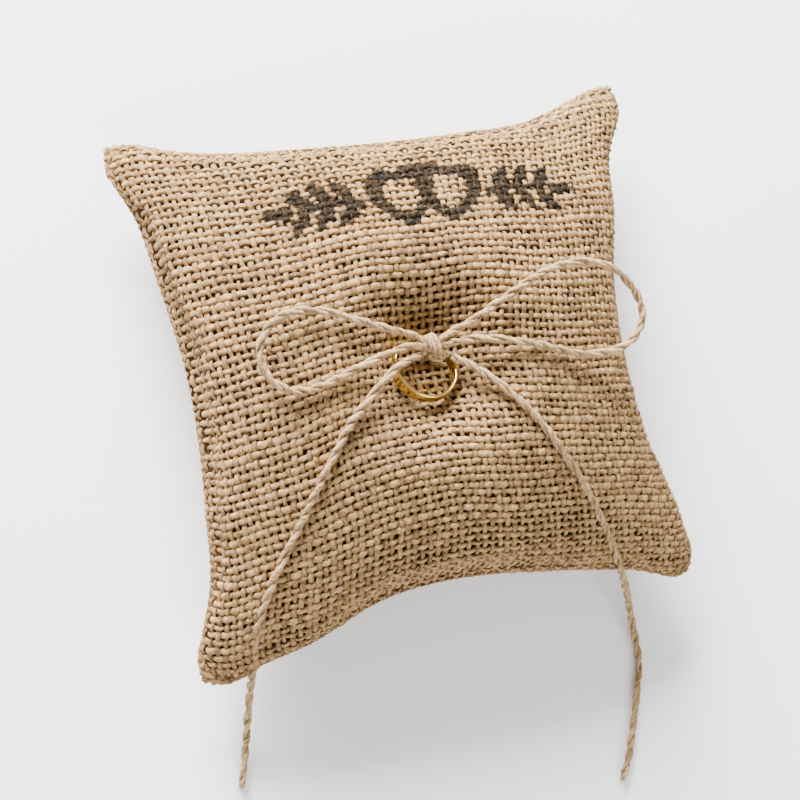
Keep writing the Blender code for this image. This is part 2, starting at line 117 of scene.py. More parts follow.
def spline_weights(share: np.ndarray) -> np.ndarray:
    """Catmull-Rom weights of the four points round a span, for the share of the span gone."""
    u = share[..., None]
    return np.concatenate([-0.5 * u + u ** 2 - 0.5 * u ** 3, 1.0 - 2.5 * u ** 2 + 1.5 * u ** 3,
                           0.5 * u + 2.0 * u ** 2 - 1.5 * u ** 3, -0.5 * u ** 2 + 0.5 * u ** 3], axis=-1)


def smooth_line(route: list, spacing: float) -> np.ndarray:
    """Evenly spaced points along the Catmull-Rom curve through a route.

    Args:
        route: Points in metres.
        spacing: Distance wanted between neighbouring points.

    Returns:
        Points as rows.
    """
    knots = np.array(route, float)
    knots = np.concatenate([2 * knots[:1] - knots[1:2], knots, 2 * knots[-1:] - knots[-2:-1]])
    place = np.linspace(0.0, len(knots) - 3, 40 * (len(knots) - 3) + 1)
    span = np.minimum(place.astype(int), len(knots) - 4)
    weights = spline_weights(place - span)
    dense = np.einsum("nk,nkc->nc", weights, knots[span[:, None] + np.arange(4)])
    gone = travelled(dense)
    stations = np.linspace(0.0, gone[-1], max(2, round(gone[-1] / spacing) + 1))
    return np.stack([np.interp(stations, gone, dense[:, axis]) for axis in range(3)], axis=-1)


def line_frame(points: np.ndarray, upwards: np.ndarray) -> tuple[np.ndarray, np.ndarray]:
    """Side and up vectors along lines of points, with side x up along the line.

    Args:
        points: Lines of points, (..., count, 3).
        upwards: Direction that up leans to, of a shape that broadcasts to points.

    Returns:
        Unit side vectors and unit up vectors.
    """
    along = unit(np.gradient(points, axis=-2))
    upwards = np.broadcast_to(upwards, points.shape)
    rise = unit(upwards - along * np.sum(upwards * along, axis=-1, keepdims=True))
    return np.cross(rise, along), rise


def waves(seed: int, shape: tuple, position: np.ndarray, lengths: tuple) -> np.ndarray:
    """Smooth random values of about unit size: sines of the given wavelengths with random phases added up.

    Args:
        seed: Which set of phases.
        shape: Shape of the phases, one for each line.
        position: Distance along each line.
        lengths: Wavelengths in the unit of position.

    Returns:
        Values of the shape that position and the phases broadcast to.
    """
    chance = np.random.default_rng(seed)
    total = 0.0
    for length in lengths:
        own_length = length * chance.uniform(0.8, 1.25, shape)
        start = chance.uniform(0.0, 1.0, shape)
        total = total + np.sin(2 * math.pi * (position / own_length + start))
    return total / math.sqrt(len(lengths) / 2.0)


# ---------------------------------------------------------------- meshes
def grid_squares(index: np.ndarray) -> np.ndarray:
    """Faces of a grid of point numbers, with their corners anticlockwise."""
    return np.stack([index[:-1, :-1], index[:-1, 1:], index[1:, 1:], index[1:, :-1]], -1).reshape(-1, 4)


@dataclass
class Shell:
    """Arrays that make one mesh: points, groups of faces with equal corner counts, and values on the points."""

    points: np.ndarray
    faces: list
    uvs: list
    values: dict = field(default_factory=dict)

    @staticmethod
    def joined(shells: list) -> Shell:
        """One shell that holds several."""
        starts = np.cumsum([0] + [len(shell.points) for shell in shells[:-1]])
        names = set().union(*(shell.values for shell in shells))
        return Shell(np.concatenate([shell.points for shell in shells]),
                     [faces + start for shell, start in zip(shells, starts) for faces in shell.faces],
                     [uv for shell in shells for uv in shell.uvs],
                     {name: np.concatenate([shell.values.get(name, np.zeros(len(shell.points)))
                                            for shell in shells]) for name in sorted(names)})

    def piece(self, name: str, material: bpy.types.Material, body: str, slot: str) -> bpy.types.Object:
        """Make the object, shaded smooth, whose place is in its mesh.

        Args:
            name: Name of the piece.
            material: Its material.
            body: The body that it rides on.
            slot: The record's material slot; not used.

        Returns:
            The new object.
        """
        mesh = bpy.data.meshes.new(name)
        corners = np.concatenate([group.reshape(-1) for group in self.faces])
        counts = np.concatenate([np.full(len(group), group.shape[1]) for group in self.faces])
        starts = np.concatenate([[0], np.cumsum(counts)[:-1]])
        mesh.vertices.add(len(self.points))
        mesh.vertices.foreach_set("co", self.points.astype(np.float32).ravel())
        mesh.loops.add(len(corners))
        mesh.loops.foreach_set("vertex_index", corners.astype(np.int32))
        mesh.polygons.add(len(counts))
        mesh.polygons.foreach_set("loop_start", starts.astype(np.int32))
        mesh.update(calc_edges=True)
        layer = mesh.uv_layers.new(name="UVMap")
        layer.data.foreach_set("uv", np.concatenate([uv.reshape(-1) for uv in self.uvs]).astype(np.float32))
        for label, numbers in self.values.items():
            attribute = mesh.attributes.new(label, "FLOAT", "POINT")
            attribute.data.foreach_set("value", numbers.astype(np.float32))
        mesh.shade_smooth()
        mesh.materials.append(material)
        made = bpy.data.objects.new(name, mesh)
        bpy.context.scene.collection.objects.link(made)
        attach(made, body)
        LOG.info("%s: %d faces on %s", name, len(counts), body)
        return made


def tubes(centres: np.ndarray, side: np.ndarray, rise: np.ndarray, half_width: np.ndarray,
          half_height: np.ndarray, sides: int, values: dict | None = None, twist: float = 0.0,
          grain: np.ndarray | None = None) -> Shell:
    """Closed tubes of elliptic section: centre + side width cos(angle) + rise height sin(angle).

    Args:
        centres: Centrelines, (tubes, stations, 3).
        side: Unit vectors across the tubes.
        rise: Unit vectors out of the cloth.
        half_width: Half widths, (tubes, stations).
        half_height: Half heights, (tubes, stations).
        sides: Corners of each section.
        values: Values for each station, (tubes, stations), or for each point, (tubes, stations, sides).
        twist: Turns that the fibres make about the tube in a centimetre.
        grain: Factors on the section at each point, (tubes, stations, sides).

    Returns:
        The tubes as one shell. UV is the share of the way round, which starts elsewhere on each tube, and the
        distance along in centimetres.
    """
    stagger = 0.37
    count, stations = centres.shape[:2]
    angle = 2 * math.pi * np.arange(sides) / sides
    section = (side[:, :, None] * (half_width[:, :, None] * np.cos(angle))[..., None]
               + rise[:, :, None] * (half_height[:, :, None] * np.sin(angle))[..., None])
    section = section if grain is None else section * grain[..., None]
    points = (centres[:, :, None] + section).reshape(-1, 3)
    index = np.arange(count * stations * sides).reshape(count, stations, sides)
    onward = np.roll(index, -1, axis=2)
    quads = np.stack([index[:, :-1], onward[:, :-1], onward[:, 1:], index[:, 1:]], axis=-1).reshape(-1, 4)
    first, last = index[:, 0, ::-1], index[:, -1]
    round_share = (np.broadcast_to(np.arange(sides) / sides, index.shape)
                   + stagger * np.arange(count)[:, None, None])
    along = np.broadcast_to(travelled(centres)[..., None] * CENTIMETRES, index.shape)
    here = np.stack([round_share + twist * along, along], axis=-1)
    step = np.array([1.0 / sides, 0.0])
    quad_uv = np.stack([here[:, :-1], here[:, :-1] + step, here[:, 1:] + step, here[:, 1:]], axis=-2)
    spread = {}
    for name, numbers in (values or {}).items():
        numbers = numbers[..., None] if numbers.ndim == 2 else numbers
        spread[name] = np.broadcast_to(numbers, index.shape).reshape(-1)
    return Shell(points, [quads, first, last],
                 [quad_uv.reshape(-1, 4, 2), here[:, 0, ::-1], here[:, -1]], spread)


def middle_and_half(node: str) -> tuple[np.ndarray, np.ndarray]:
    """The middle of a CAD node's box, and half its size."""
    low, high = (np.array(corner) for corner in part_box(node))
    return (low + high) / 2, (high - low) / 2


def hairs(roots: np.ndarray, heading: np.ndarray, lengths: np.ndarray, radius: float, seed: int) -> Shell:
    """Loose fibres: each a thin three-sided tube that leaves its root, curls and tapers, above the floor.

    Args:
        roots: Where they start, (count, 3).
        heading: Unit directions they set off in.
        lengths: Their lengths.
        radius: Half thickness at the root.
        seed: Which set of curls.

    Returns:
        The fibres as one shell.
    """
    curl, taper = 0.45, np.array([1.0, 0.85, 0.6, 0.15])
    chance = np.random.default_rng(seed)
    share = np.linspace(0.0, 1.0, len(taper))[None, :, None]
    bend = unit(chance.normal(size=roots.shape))[:, None] * lengths[:, None, None]
    lines = roots[:, None] + heading[:, None] * lengths[:, None, None] * share + curl * bend * share ** 2
    lines[..., 2] = np.maximum(lines[..., 2], 2 * radius)
    side, rise = line_frame(lines, unit(chance.normal(size=roots.shape))[:, None])
    thin = radius * taper * np.ones((len(roots), 1))
    tone = chance.uniform(0.3, 1.0, (len(roots), 1)) * np.ones_like(thin)
    return tubes(lines, side, rise, thin, thin, 3, {"tone": tone})


# ---------------------------------------------------------------- the cushion's shape
@dataclass
class CushionForm:
    """The surface that the filled cover takes, as two grids over the cut panels, front and back.

    Positions on a panel are a and b, from -1 to 1 across its width and its height. Ears and shoulders are given
    for the left side's bottom and top, then the right side's. A bulge is its side's sign, the middle and spread
    of its bell along the side, and its height.
    """

    half_width: float = 75.0 * MM
    sag_left: float = 9.6 * MM
    sag_right: float = 12.4 * MM
    sag_top: float = 10.4 * MM
    sag_bottom: float = 14.0 * MM
    seam_mid: float = 23.0 * MM
    seam_corner: float = 14.0 * MM
    crown_rise: float = 30.0 * MM
    fullness: float = 0.52
    tuft: tuple = (-1.0 * MM, 2.0 * MM)
    dimple_depth: float = 16.0 * MM
    dimple_spread: float = 17.0 * MM
    back_dimple_depth: float = 7.0 * MM
    back_dimple_radius: float = 14.0 * MM
    corner_radius: float = 12.0 * MM
    ears: tuple = ((2.2 * MM, 3.3 * MM), (0.0 * MM, 4.2 * MM))
    side_bulges: tuple = ((1, 0.50, 0.26, 3.2 * MM), (1, -0.68, 0.20, 2.2 * MM),
                          (-1, 0.48, 0.26, 1.3 * MM), (-1, -0.62, 0.16, -1.0 * MM))
    end_bulges: tuple = ((-1, -0.60, 0.23, 5.0 * MM), (-1, 0.40, 0.30, 1.3 * MM),
                         (1, -0.20, 0.45, 1.5 * MM), (1, 0.60, 0.18, -1.5 * MM))
    side_shoulders: tuple = ((0.6 * MM, 2.0 * MM), (0.8 * MM, 3.8 * MM))
    end_shoulders: tuple = ((3.0 * MM, 0.8 * MM), (0.6 * MM, 0.0 * MM))
    shoulder_place: float = 0.87
    shoulder_spread: float = 0.13
    edge_power: int = 6
    bulge_power: int = 3
    dimple_fade: float = 4.0
    count: int = 49
    finer: int = 4
    normal_step: float = 0.012
    cut_half_width: float = 77.0 * MM
    held_radius: float = 9.0 * MM
    held_fade: float = 12.0 * MM
    resting_height: float = 0.3 * MM
    pressure: float = 28.0
    mass: float = 0.0015
    stretch_stiffness: float = 6.0
    shear_stiffness: float = 1.5
    bending_stiffness: float = 0.02
    air_damping: float = 3.0
    quality: int = 8
    steps: int = 24
    largest_move: float = 2.6 * MM
    largest_swell: float = 0.45 * MM
    seam_move: float = 0.3
    front: np.ndarray = field(init=False)
    back: np.ndarray = field(init=False)

    def __post_init__(self) -> None:
        """Work out the shape before filling."""
        self.front = self.even_grid(self.start_face(1.0))
        self.back = self.even_grid(self.start_face(-1.0))
        for edge in (np.s_[0, :], np.s_[-1, :], np.s_[:, 0], np.s_[:, -1]):
            middle = (self.front[edge] + self.back[edge]) / 2
            self.front[edge] = self.back[edge] = middle

    def start_face(self, facing: float) -> np.ndarray:
        """The unfilled face: a square whose sides pull in as 1 - t^2, crowned by the swell
        ((1 - s^2)(1 - t^2))^fullness, with a dimple exp(-(r / spread)^2) at the tuft.

        Args:
            facing: 1 for the front, -1 for the back.

        Returns:
            Grid of points, a along the second axis and b along the first.
        """
        ramp = np.sin(math.pi / 2 * np.linspace(-1.0, 1.0, self.finer * (self.count - 1) + 1))
        s, t = np.meshgrid(ramp, ramp)
        sag_x = (self.sag_left + self.sag_right) / 2 + (self.sag_right - self.sag_left) / 2 * s
        sag_y = (self.sag_bottom + self.sag_top) / 2 + (self.sag_top - self.sag_bottom) / 2 * t
        right, top = (s > 0).astype(int), (t > 0).astype(int)
        ear = np.array(self.ears)[right, top] * (s * t) ** self.edge_power
        x = s * (self.half_width - sag_x * (1 - t ** 2) + ear) - np.sign(s) * self.corner_pull(s, t)
        y = t * (self.half_width - sag_y * (1 - s ** 2) + ear) - np.sign(t) * self.corner_pull(t, s)
        x += np.sign(s) * s ** self.edge_power * np.array(self.side_shoulders)[right, top] * self.shoulder(t)
        y += np.sign(t) * t ** self.edge_power * np.array(self.end_shoulders)[right, top] * self.shoulder(s)
        for moved, out, along, bulges in ((x, s, t, self.side_bulges), (y, t, s, self.end_bulges)):
            for sign, middle, spread, height in bulges:
                bell = np.exp(-((along - middle) / spread) ** 2)
                moved += sign * height * np.clip(sign * out, 0, 1) ** self.bulge_power * bell
        level = self.seam_corner + (self.seam_mid - self.seam_corner) * (1 - s ** 2 * t ** 2)
        swell = np.maximum((1 - s ** 2) * (1 - t ** 2), 0.0) ** self.fullness
        reach = np.hypot(x - self.tuft[0], y - self.tuft[1])
        if facing > 0:
            dimple = self.dimple_depth * np.exp(-(reach / self.dimple_spread) ** 2)
            z = level + self.crown_rise * swell - dimple * np.minimum(self.dimple_fade * swell, 1.0)
        else:
            lift = self.back_dimple_depth * (1 - np.minimum(reach / self.back_dimple_radius, 1.0) ** 2) ** 2
            z = np.maximum(level - self.crown_rise * swell, 0.0) + lift
        return np.stack([x, y, z], axis=-1)

    def shoulder(self, value: np.ndarray) -> np.ndarray:
        """A bump exp(-((|v| - place) / spread)^2) beside each end of a side."""
        return np.exp(-((np.abs(value) - self.shoulder_place) / self.shoulder_spread) ** 2)

    def corner_pull(self, along: np.ndarray, across: np.ndarray) -> np.ndarray:
        """How far a point is drawn in so that the corners are round: the arc r (1 - cos) beside the seam that
        faces along, and r (w - sin w) beside the other one, with the arc's angle half a right angle at the tip.

        Args:
            along: Parameter on the axis of the pull, -1 to 1.
            across: Parameter on the other axis.

        Returns:
            Distances inwards.
        """
        start = 1 - self.corner_radius / self.half_width
        near, far = (np.clip((np.abs(value) - start) / (1 - start), 0.0, 1.0) for value in (along, across))
        eighth = math.pi / 4
        beside = (1 - np.cos(eighth * far)) * near
        before = (near - np.sin(eighth * near)) * far
        share = (1 - far) / np.maximum((1 - near) + (1 - far), 1e-6)
        return self.corner_radius * (share * beside + (1 - share) * before)

    def even_grid(self, dense: np.ndarray) -> np.ndarray:
        """Spread a dense grid's lines evenly by the distance along the cloth, rows and columns in turn."""
        for _ in range(3):
            for _ in range(2):
                gone = travelled(dense)
                share = gone / gone[:, -1:]
                even = np.linspace(0.0, 1.0, dense.shape[1])
                dense = np.stack([np.stack([np.interp(even, share[row], dense[row, :, axis])
                                            for row in range(dense.shape[0])]) for axis in range(3)], axis=-1)
                dense = dense.transpose(1, 0, 2)
        return dense[::self.finer, ::self.finer].copy()

    def outer_index(self) -> np.ndarray:
        """Point numbers of the back grid in the joined mesh, whose border is the front's."""
        n = self.count
        index = np.arange(n * n).reshape(n, n)
        index[1:-1, 1:-1] = n * n + np.arange((n - 2) ** 2).reshape(n - 2, n - 2)
        return index

    def hold(self, points: np.ndarray) -> np.ndarray:
        """How firmly each point is held, from 0 to 1: fully near the tuft and where the cushion rests."""
        reach = np.hypot(points[:, 0] - self.tuft[0], points[:, 1] - self.tuft[1])
        hold = np.clip(1.0 - (reach - self.held_radius) / self.held_fade, 0.0, 1.0)
        hold[points[:, 2] < self.resting_height] = 1.0
        return hold

    def sewn_cover(self, start: np.ndarray, faces: np.ndarray) -> bpy.types.Object:
        """The cover before filling, with its flat cut panels as a shape key.

        Args:
            start: Its points.
            faces: Its squares.

        Returns:
            The object, which is a help for the simulation and no piece.
        """
        mesh = bpy.data.meshes.new("filled_cover")
        mesh.from_pydata(start.tolist(), [], faces.tolist())
        cover = bpy.data.objects.new("filled_cover", mesh)
        bpy.context.scene.collection.objects.link(cover)
        cover.shape_key_add(name="Basis")
        line = np.linspace(-self.cut_half_width, self.cut_half_width, self.count)
        flat = np.stack([*np.meshgrid(line, line), np.full((self.count, self.count), self.seam_mid)], axis=-1)
        panels = np.concatenate([flat.reshape(-1, 3), flat[1:-1, 1:-1].reshape(-1, 3)])
        cut = cover.shape_key_add(name="cut")
        cut.data.foreach_set("co", panels.astype(np.float32).ravel())
        return cover

    def settled(self, cover: bpy.types.Object, hold: np.ndarray) -> np.ndarray:
        """Run the cloth simulation and remove the cover.

        Args:
            cover: The cover before filling.
            hold: How firmly each point is held.

        Returns:
            The points after the last step.
        """
        group = cover.vertex_groups.new(name="held")
        for number in np.flatnonzero(hold > 0):
            group.add([int(number)], float(hold[number]), "REPLACE")
        cloth = cover.modifiers.new("Cloth", "CLOTH")
        settings = cloth.settings
        settings.quality = self.quality
        settings.mass = self.mass
        settings.tension_stiffness = settings.compression_stiffness = self.stretch_stiffness
        settings.shear_stiffness = self.shear_stiffness
        settings.bending_stiffness = self.bending_stiffness
        settings.air_damping = self.air_damping
        settings.use_pressure = True
        settings.uniform_pressure_force = self.pressure
        settings.effector_weights.gravity = 0.0
        settings.vertex_group_mass = "held"
        settings.pin_stiffness = 1.0
        settings.rest_shape_key = cover.data.shape_keys.key_blocks["cut"]
        cloth.collision_settings.use_collision = False
        cloth.point_cache.frame_end = self.steps
        for step in range(1, self.steps + 1):
            bpy.context.scene.frame_set(step)
        mesh = cover.evaluated_get(bpy.context.evaluated_depsgraph_get()).to_mesh()
        points = np.zeros(len(hold) * 3, np.float32)
        mesh.vertices.foreach_get("co", points)
        bpy.context.scene.frame_set(1)
        bpy.data.objects.remove(cover, do_unlink=True)
        return points.reshape(-1, 3).astype(float)

    def limited(self, move: np.ndarray, normals: np.ndarray) -> np.ndarray:
        """Moves drawn in by limit tanh(move / limit): largest_move along and into the cloth, largest_swell
        out of it."""
        out = np.sum(move * normals, axis=1, keepdims=True)
        slide = move - out * normals
        reach = np.linalg.norm(slide, axis=1, keepdims=True)
        slide *= self.largest_move * np.tanh(reach / self.largest_move) / np.maximum(reach, 1e-9)
        out = np.where(out > 0, self.largest_swell * np.tanh(out / self.largest_swell),
                       self.largest_move * np.tanh(out / self.largest_move))
        return slide + out * normals

    def fill(self) -> None:
        """Let the cloth settle under the pressure of the filling, with the tuft and the resting face held.

        The cut panels are flat squares a little wider than the cushion, so the spare cloth puckers along
        the seams. The seam itself moves by a share only, and no point ends under the floor.
        """
        n = self.count
        front_index = np.arange(n * n).reshape(n, n)
        back_index = self.outer_index()
        start = np.concatenate([self.front.reshape(-1, 3), self.back[1:-1, 1:-1].reshape(-1, 3)])
        cover = self.sewn_cover(start, np.concatenate([grid_squares(front_index),
                                                       grid_squares(back_index)[:, ::-1]]))
        normals = np.zeros(len(start) * 3, np.float32)
        cover.data.vertex_normals.foreach_get("vector", normals)
        normals = normals.reshape(-1, 3).astype(float)
        hold = self.hold(start)
        move = self.settled(cover, hold) - start
        length = np.linalg.norm(move, axis=1)
        LOG.info("filled cover: points move %.2f mm on average, %.2f mm at most",
                 float(length.mean()) / MM, float(length.max()) / MM)
        seam = np.zeros(len(start), bool)
        seam[np.concatenate([front_index[0], front_index[-1], front_index[:, 0], front_index[:, -1]])] = True
        share = (1.0 - hold) * np.where(seam, self.seam_move, 1.0)
        points = start + self.limited(move, normals) * share[:, None]
        points[:, 2] = np.maximum(points[:, 2], 0.0)
        self.front = points[:n * n].reshape(n, n, 3)
        self.back = points[back_index]

    def at(self, facing: float, a: np.ndarray, b: np.ndarray) -> np.ndarray:
        """Points of one face at panel positions, by Catmull-Rom weights across the grid both ways.

        Args:
            facing: 1 for the front, -1 for the back.
            a: Positions across, -1 to 1.
            b: Positions up, -1 to 1.

        Returns:
            Points, of the shape that a and b broadcast to, with 3 added.
        """
        grid = self.front if facing > 0 else self.back
        grid = np.concatenate([2 * grid[:1] - grid[1:2], grid, 2 * grid[-1:] - grid[-2:-1]])
        grid = np.concatenate([2 * grid[:, :1] - grid[:, 1:2], grid, 2 * grid[:, -1:] - grid[:, -2:-1]], axis=1)
        a, b = np.broadcast_arrays(np.clip(a, -1.0, 1.0), np.clip(b, -1.0, 1.0))
        total = 0.0
        place_a, place_b = ((value + 1) / 2 * (self.count - 1) for value in (a, b))
        cell_a, cell_b = (np.minimum(place.astype(int), self.count - 2) for place in (place_a, place_b))
        weight_a, weight_b = spline_weights(place_a - cell_a), spline_weights(place_b - cell_b)
        for i in range(4):
            for j in range(4):
                total = total + (weight_a[..., i] * weight_b[..., j])[..., None] * grid[cell_b + j, cell_a + i]
        return total

    def normal(self, facing: float, a: np.ndarray, b: np.ndarray) -> np.ndarray:
        """Unit vectors out of one face, the cross product of the surface's two small steps."""
        small = self.normal_step
        a, b = np.clip(a, small - 1, 1 - small), np.clip(b, small - 1, 1 - small)
        across = self.at(facing, a + small, b) - self.at(facing, a - small, b)
        up = self.at(facing, a, b + small) - self.at(facing, a, b - small)
        return facing * unit(np.cross(across, up))


def closed_between(upper: np.ndarray, lower: np.ndarray) -> Shell:
    """Closed shell between two grids of equal size, with a rim of squares round the border.

    Args:
        upper: Grid whose anticlockwise squares face out.
        lower: Grid on the other side.

    Returns:
        The shell, with UV that follows the grid.
    """
    n = upper.shape[0]
    index = np.arange(n * n).reshape(n, n)
    top = grid_squares(index)
    base = top[:, ::-1] + n * n
    border = np.concatenate([index[0, :-1], index[:-1, -1], index[-1, :0:-1], index[:0:-1, 0]])
    following = np.roll(border, -1)
    rim = np.stack([following, border, border + n * n, following + n * n], -1)
    share = np.linspace(0.0, 1.0, n)
    flat = np.stack(np.meshgrid(share, share), axis=-1).reshape(-1, 2)
    both = np.concatenate([flat, flat])
    faces = [top, base, rim]
    return Shell(np.concatenate([upper.reshape(-1, 3), lower.reshape(-1, 3)]), faces,
                 [both[group] for group in faces])


# ---------------------------------------------------------------- finishes
def shader_group(name: str, inputs: dict, outputs: tuple) -> bpy.types.NodeTree:
    """An empty shader node group with named sockets.

    Args:
        name: Name of the group.
        inputs: Socket types by name.
        outputs: Names of its number outputs.

    Returns:
        The group, with its input and output nodes placed.
    """
    group = bpy.data.node_groups.new(name, "ShaderNodeTree")
    for label, kind in inputs.items():
        group.interface.new_socket(name=label, in_out="INPUT", socket_type=kind)
    for label in outputs:
        group.interface.new_socket(name=label, in_out="OUTPUT", socket_type="NodeSocketFloat")
    group.nodes.new("NodeGroupInput").name = "in"
    group.nodes.new("NodeGroupOutput").name = "out"
    return group


def stretched_mask(group: bpy.types.NodeTree, noise: bpy.types.NodeSocket, low: float, high: float) -> None:
    """Stretch the narrow range that noise takes, from low to high, to the group's Mask output, from 0 to 1."""
    spread = group.nodes.new("ShaderNodeMapRange")
    spread.inputs["From Min"].default_value = low
    spread.inputs["From Max"].default_value = high
    group.links.new(noise, spread.inputs["Value"])
    group.links.new(spread.outputs["Result"], group.nodes["out"].inputs["Mask"])


class Effect(Enum):
    """Effects that several materials share, by the name of their node group."""

    STREAKS = "fibre_streaks"
    PATCHES = "soft_patches"


def make_streaks() -> None:
    """Fibres along a yarn: noise on UV that is stretched along, coarse plus fine, as a mask and a height."""
    number, vector = "NodeSocketFloat", "NodeSocketVector"
    group = shader_group(Effect.STREAKS.value, {"UV": vector, "Around": number, "Along": number},
                         ("Mask", "Height"))
    nodes, links = group.nodes, group.links
    source = nodes["in"]
    scale = nodes.new("ShaderNodeCombineXYZ")
    links.new(source.outputs["Around"], scale.inputs["X"])
    links.new(source.outputs["Along"], scale.inputs["Y"])
    stretched = nodes.new("ShaderNodeVectorMath")
    stretched.operation = "MULTIPLY"
    links.new(source.outputs["UV"], stretched.inputs[0])
    links.new(scale.outputs["Vector"], stretched.inputs[1])
    coarse, fine = (nodes.new("ShaderNodeTexNoise") for _ in range(2))
    for noise, size, detail in ((coarse, 1.0, 3.0), (fine, 3.1, 2.0)):
        noise.inputs["Scale"].default_value = size
        noise.inputs["Detail"].default_value = detail
        links.new(stretched.outputs["Vector"], noise.inputs["Vector"])
    summed = nodes.new("ShaderNodeMath")
    summed.operation = "ADD"
    links.new(coarse.outputs["Fac"], summed.inputs[0])
    links.new(fine.outputs["Fac"], summed.inputs[1])
    links.new(summed.outputs["Value"], nodes["out"].inputs["Height"])
    stretched_mask(group, summed.outputs["Value"], 0.84, 1.16)


def make_patches() -> None:
    """Slow changes of shade over a piece: noise on Object coordinates, as a mask."""
    group = shader_group(Effect.PATCHES.value, {"Vector": "NodeSocketVector", "Scale": "NodeSocketFloat"},
                         ("Mask",))
    nodes, links = group.nodes, group.links
    noise = nodes.new("ShaderNodeTexNoise")
    noise.inputs["Detail"].default_value = 3.0
    links.new(nodes["in"].outputs["Vector"], noise.inputs["Vector"])
    links.new(nodes["in"].outputs["Scale"], noise.inputs["Scale"])
    stretched_mask(group, noise.outputs["Fac"], 0.42, 0.58)


class Surface:
    """One material under construction: a Principled shader and the nodes that feed it."""

    def __init__(self, name: str, roughness: float, metallic: float = 0.0, gloss: float = 0.5) -> None:
        """Start the material with the numbers that are the same all over it."""
        self.material = bpy.data.materials.new(name)
        self.material.use_nodes = True
        self.nodes, self.links = self.material.node_tree.nodes, self.material.node_tree.links
        self.shader = self.nodes["Principled BSDF"]
        self.shader.inputs["Roughness"].default_value = roughness
        self.shader.inputs["Metallic"].default_value = metallic
        self.shader.inputs["Specular IOR Level"].default_value = gloss

    def effect(self, effect: Effect, source: bpy.types.NodeSocket, **numbers: float) -> bpy.types.Node:
        """Place a shared effect, fed by coordinates and set to its own values."""
        node = self.nodes.new("ShaderNodeGroup")
        node.node_tree = bpy.data.node_groups[effect.value]
        self.links.new(source, node.inputs[0])
        for label, value in numbers.items():
            node.inputs[label].default_value = value
        return node

    def uv(self) -> bpy.types.NodeSocket:
        """The piece's own UV map."""
        node = self.nodes.new("ShaderNodeUVMap")
        node.uv_map = "UVMap"
        return node.outputs["UV"]

    def place(self) -> bpy.types.NodeSocket:
        """Object coordinates."""
        return self.nodes.new("ShaderNodeTexCoord").outputs["Object"]

    def value(self, name: str) -> bpy.types.NodeSocket:
        """A value that the mesh carries on its points."""
        node = self.nodes.new("ShaderNodeAttribute")
        node.attribute_name = name
        return node.outputs["Fac"]

    def maths(self, operation: str, first: object, second: object) -> bpy.types.NodeSocket:
        """Two numbers or sockets put together, kept from 0 to 1."""
        node = self.nodes.new("ShaderNodeMath")
        node.operation = operation
        node.use_clamp = True
        for socket, given in zip(node.inputs, (first, second)):
            if isinstance(given, float):
                socket.default_value = given
            else:
                self.links.new(given, socket)
        return node.outputs["Value"]

    def mix(self, share: bpy.types.NodeSocket, first: object, second: object) -> bpy.types.NodeSocket:
        """A colour between two colours or sockets."""
        node = self.nodes.new("ShaderNodeMix")
        node.data_type = "RGBA"
        self.links.new(share, node.inputs["Factor"])
        for socket, given in ((node.inputs[6], first), (node.inputs[7], second)):
            if isinstance(given, tuple):
                socket.default_value = (*given, 1.0)
            else:
                self.links.new(given, socket)
        return node.outputs[2]

    def ranged(self, source: bpy.types.NodeSocket, low: float, high: float) -> bpy.types.NodeSocket:
        """A mask turned into numbers between low and high."""
        node = self.nodes.new("ShaderNodeMapRange")
        node.inputs["To Min"].default_value = low
        node.inputs["To Max"].default_value = high
        self.links.new(source, node.inputs["Value"])
        return node.outputs["Result"]

    def bump(self, height: bpy.types.NodeSocket, strength: float, distance: float) -> None:
        """Feed the shader's normal from a height."""
        node = self.nodes.new("ShaderNodeBump")
        node.inputs["Strength"].default_value = strength
        node.inputs["Distance"].default_value = distance
        self.links.new(height, node.inputs["Height"])
        self.links.new(node.outputs["Normal"], self.shader.inputs["Normal"])

    def colour(self, source: bpy.types.NodeSocket) -> None:
        """Feed the shader's base colour."""
        self.links.new(source, self.shader.inputs["Base Color"])


@dataclass(frozen=True)
class FibreFinish:
    """Plant fibre, streaked along its yarns, with ink where the mesh says so.

    The shares say how much of the shade comes from the yarn's tone, its streaks and the slow patches.
    """

    name: str
    pale: tuple
    deep: tuple
    ink: tuple = (0.008, 0.006, 0.004)
    roughness: float = 0.88
    gloss: float = 0.15
    around: float = 7.0
    along: float = 3.0
    # On the cover's yarns the tone value also holds painted shade: lighter where a yarn rises, darker where it
    # dips.
    tone_share: float = 0.46
    streak_share: float = 0.52
    patch_share: float = 0.08
    patch_scale: float = 38.0
    ink_wear: tuple = (1.15, 0.88)
    bump: float = 1.0
    bump_depth: float = 0.5 * MM

    def build(self) -> bpy.types.Material:
        """Make the material."""
        surface = Surface(self.name, self.roughness, gloss=self.gloss)
        streaks = surface.effect(Effect.STREAKS, surface.uv(), Around=self.around, Along=self.along)
        patches = surface.effect(Effect.PATCHES, surface.place(), Scale=self.patch_scale)
        tone = surface.maths("MULTIPLY", surface.value("tone"), self.tone_share)
        streak = surface.maths("MULTIPLY", streaks.outputs["Mask"], self.streak_share)
        patch = surface.maths("MULTIPLY", patches.outputs["Mask"], self.patch_share)
        share = surface.maths("ADD", surface.maths("ADD", tone, streak), patch)
        fibre = surface.mix(share, self.deep, self.pale)
        wear = surface.ranged(streaks.outputs["Mask"], *self.ink_wear)
        worn = surface.maths("MULTIPLY", surface.value("ink"), wear)
        surface.colour(surface.mix(worn, fibre, self.ink))
        surface.bump(streaks.outputs["Height"], self.bump, self.bump_depth)
        return surface.material


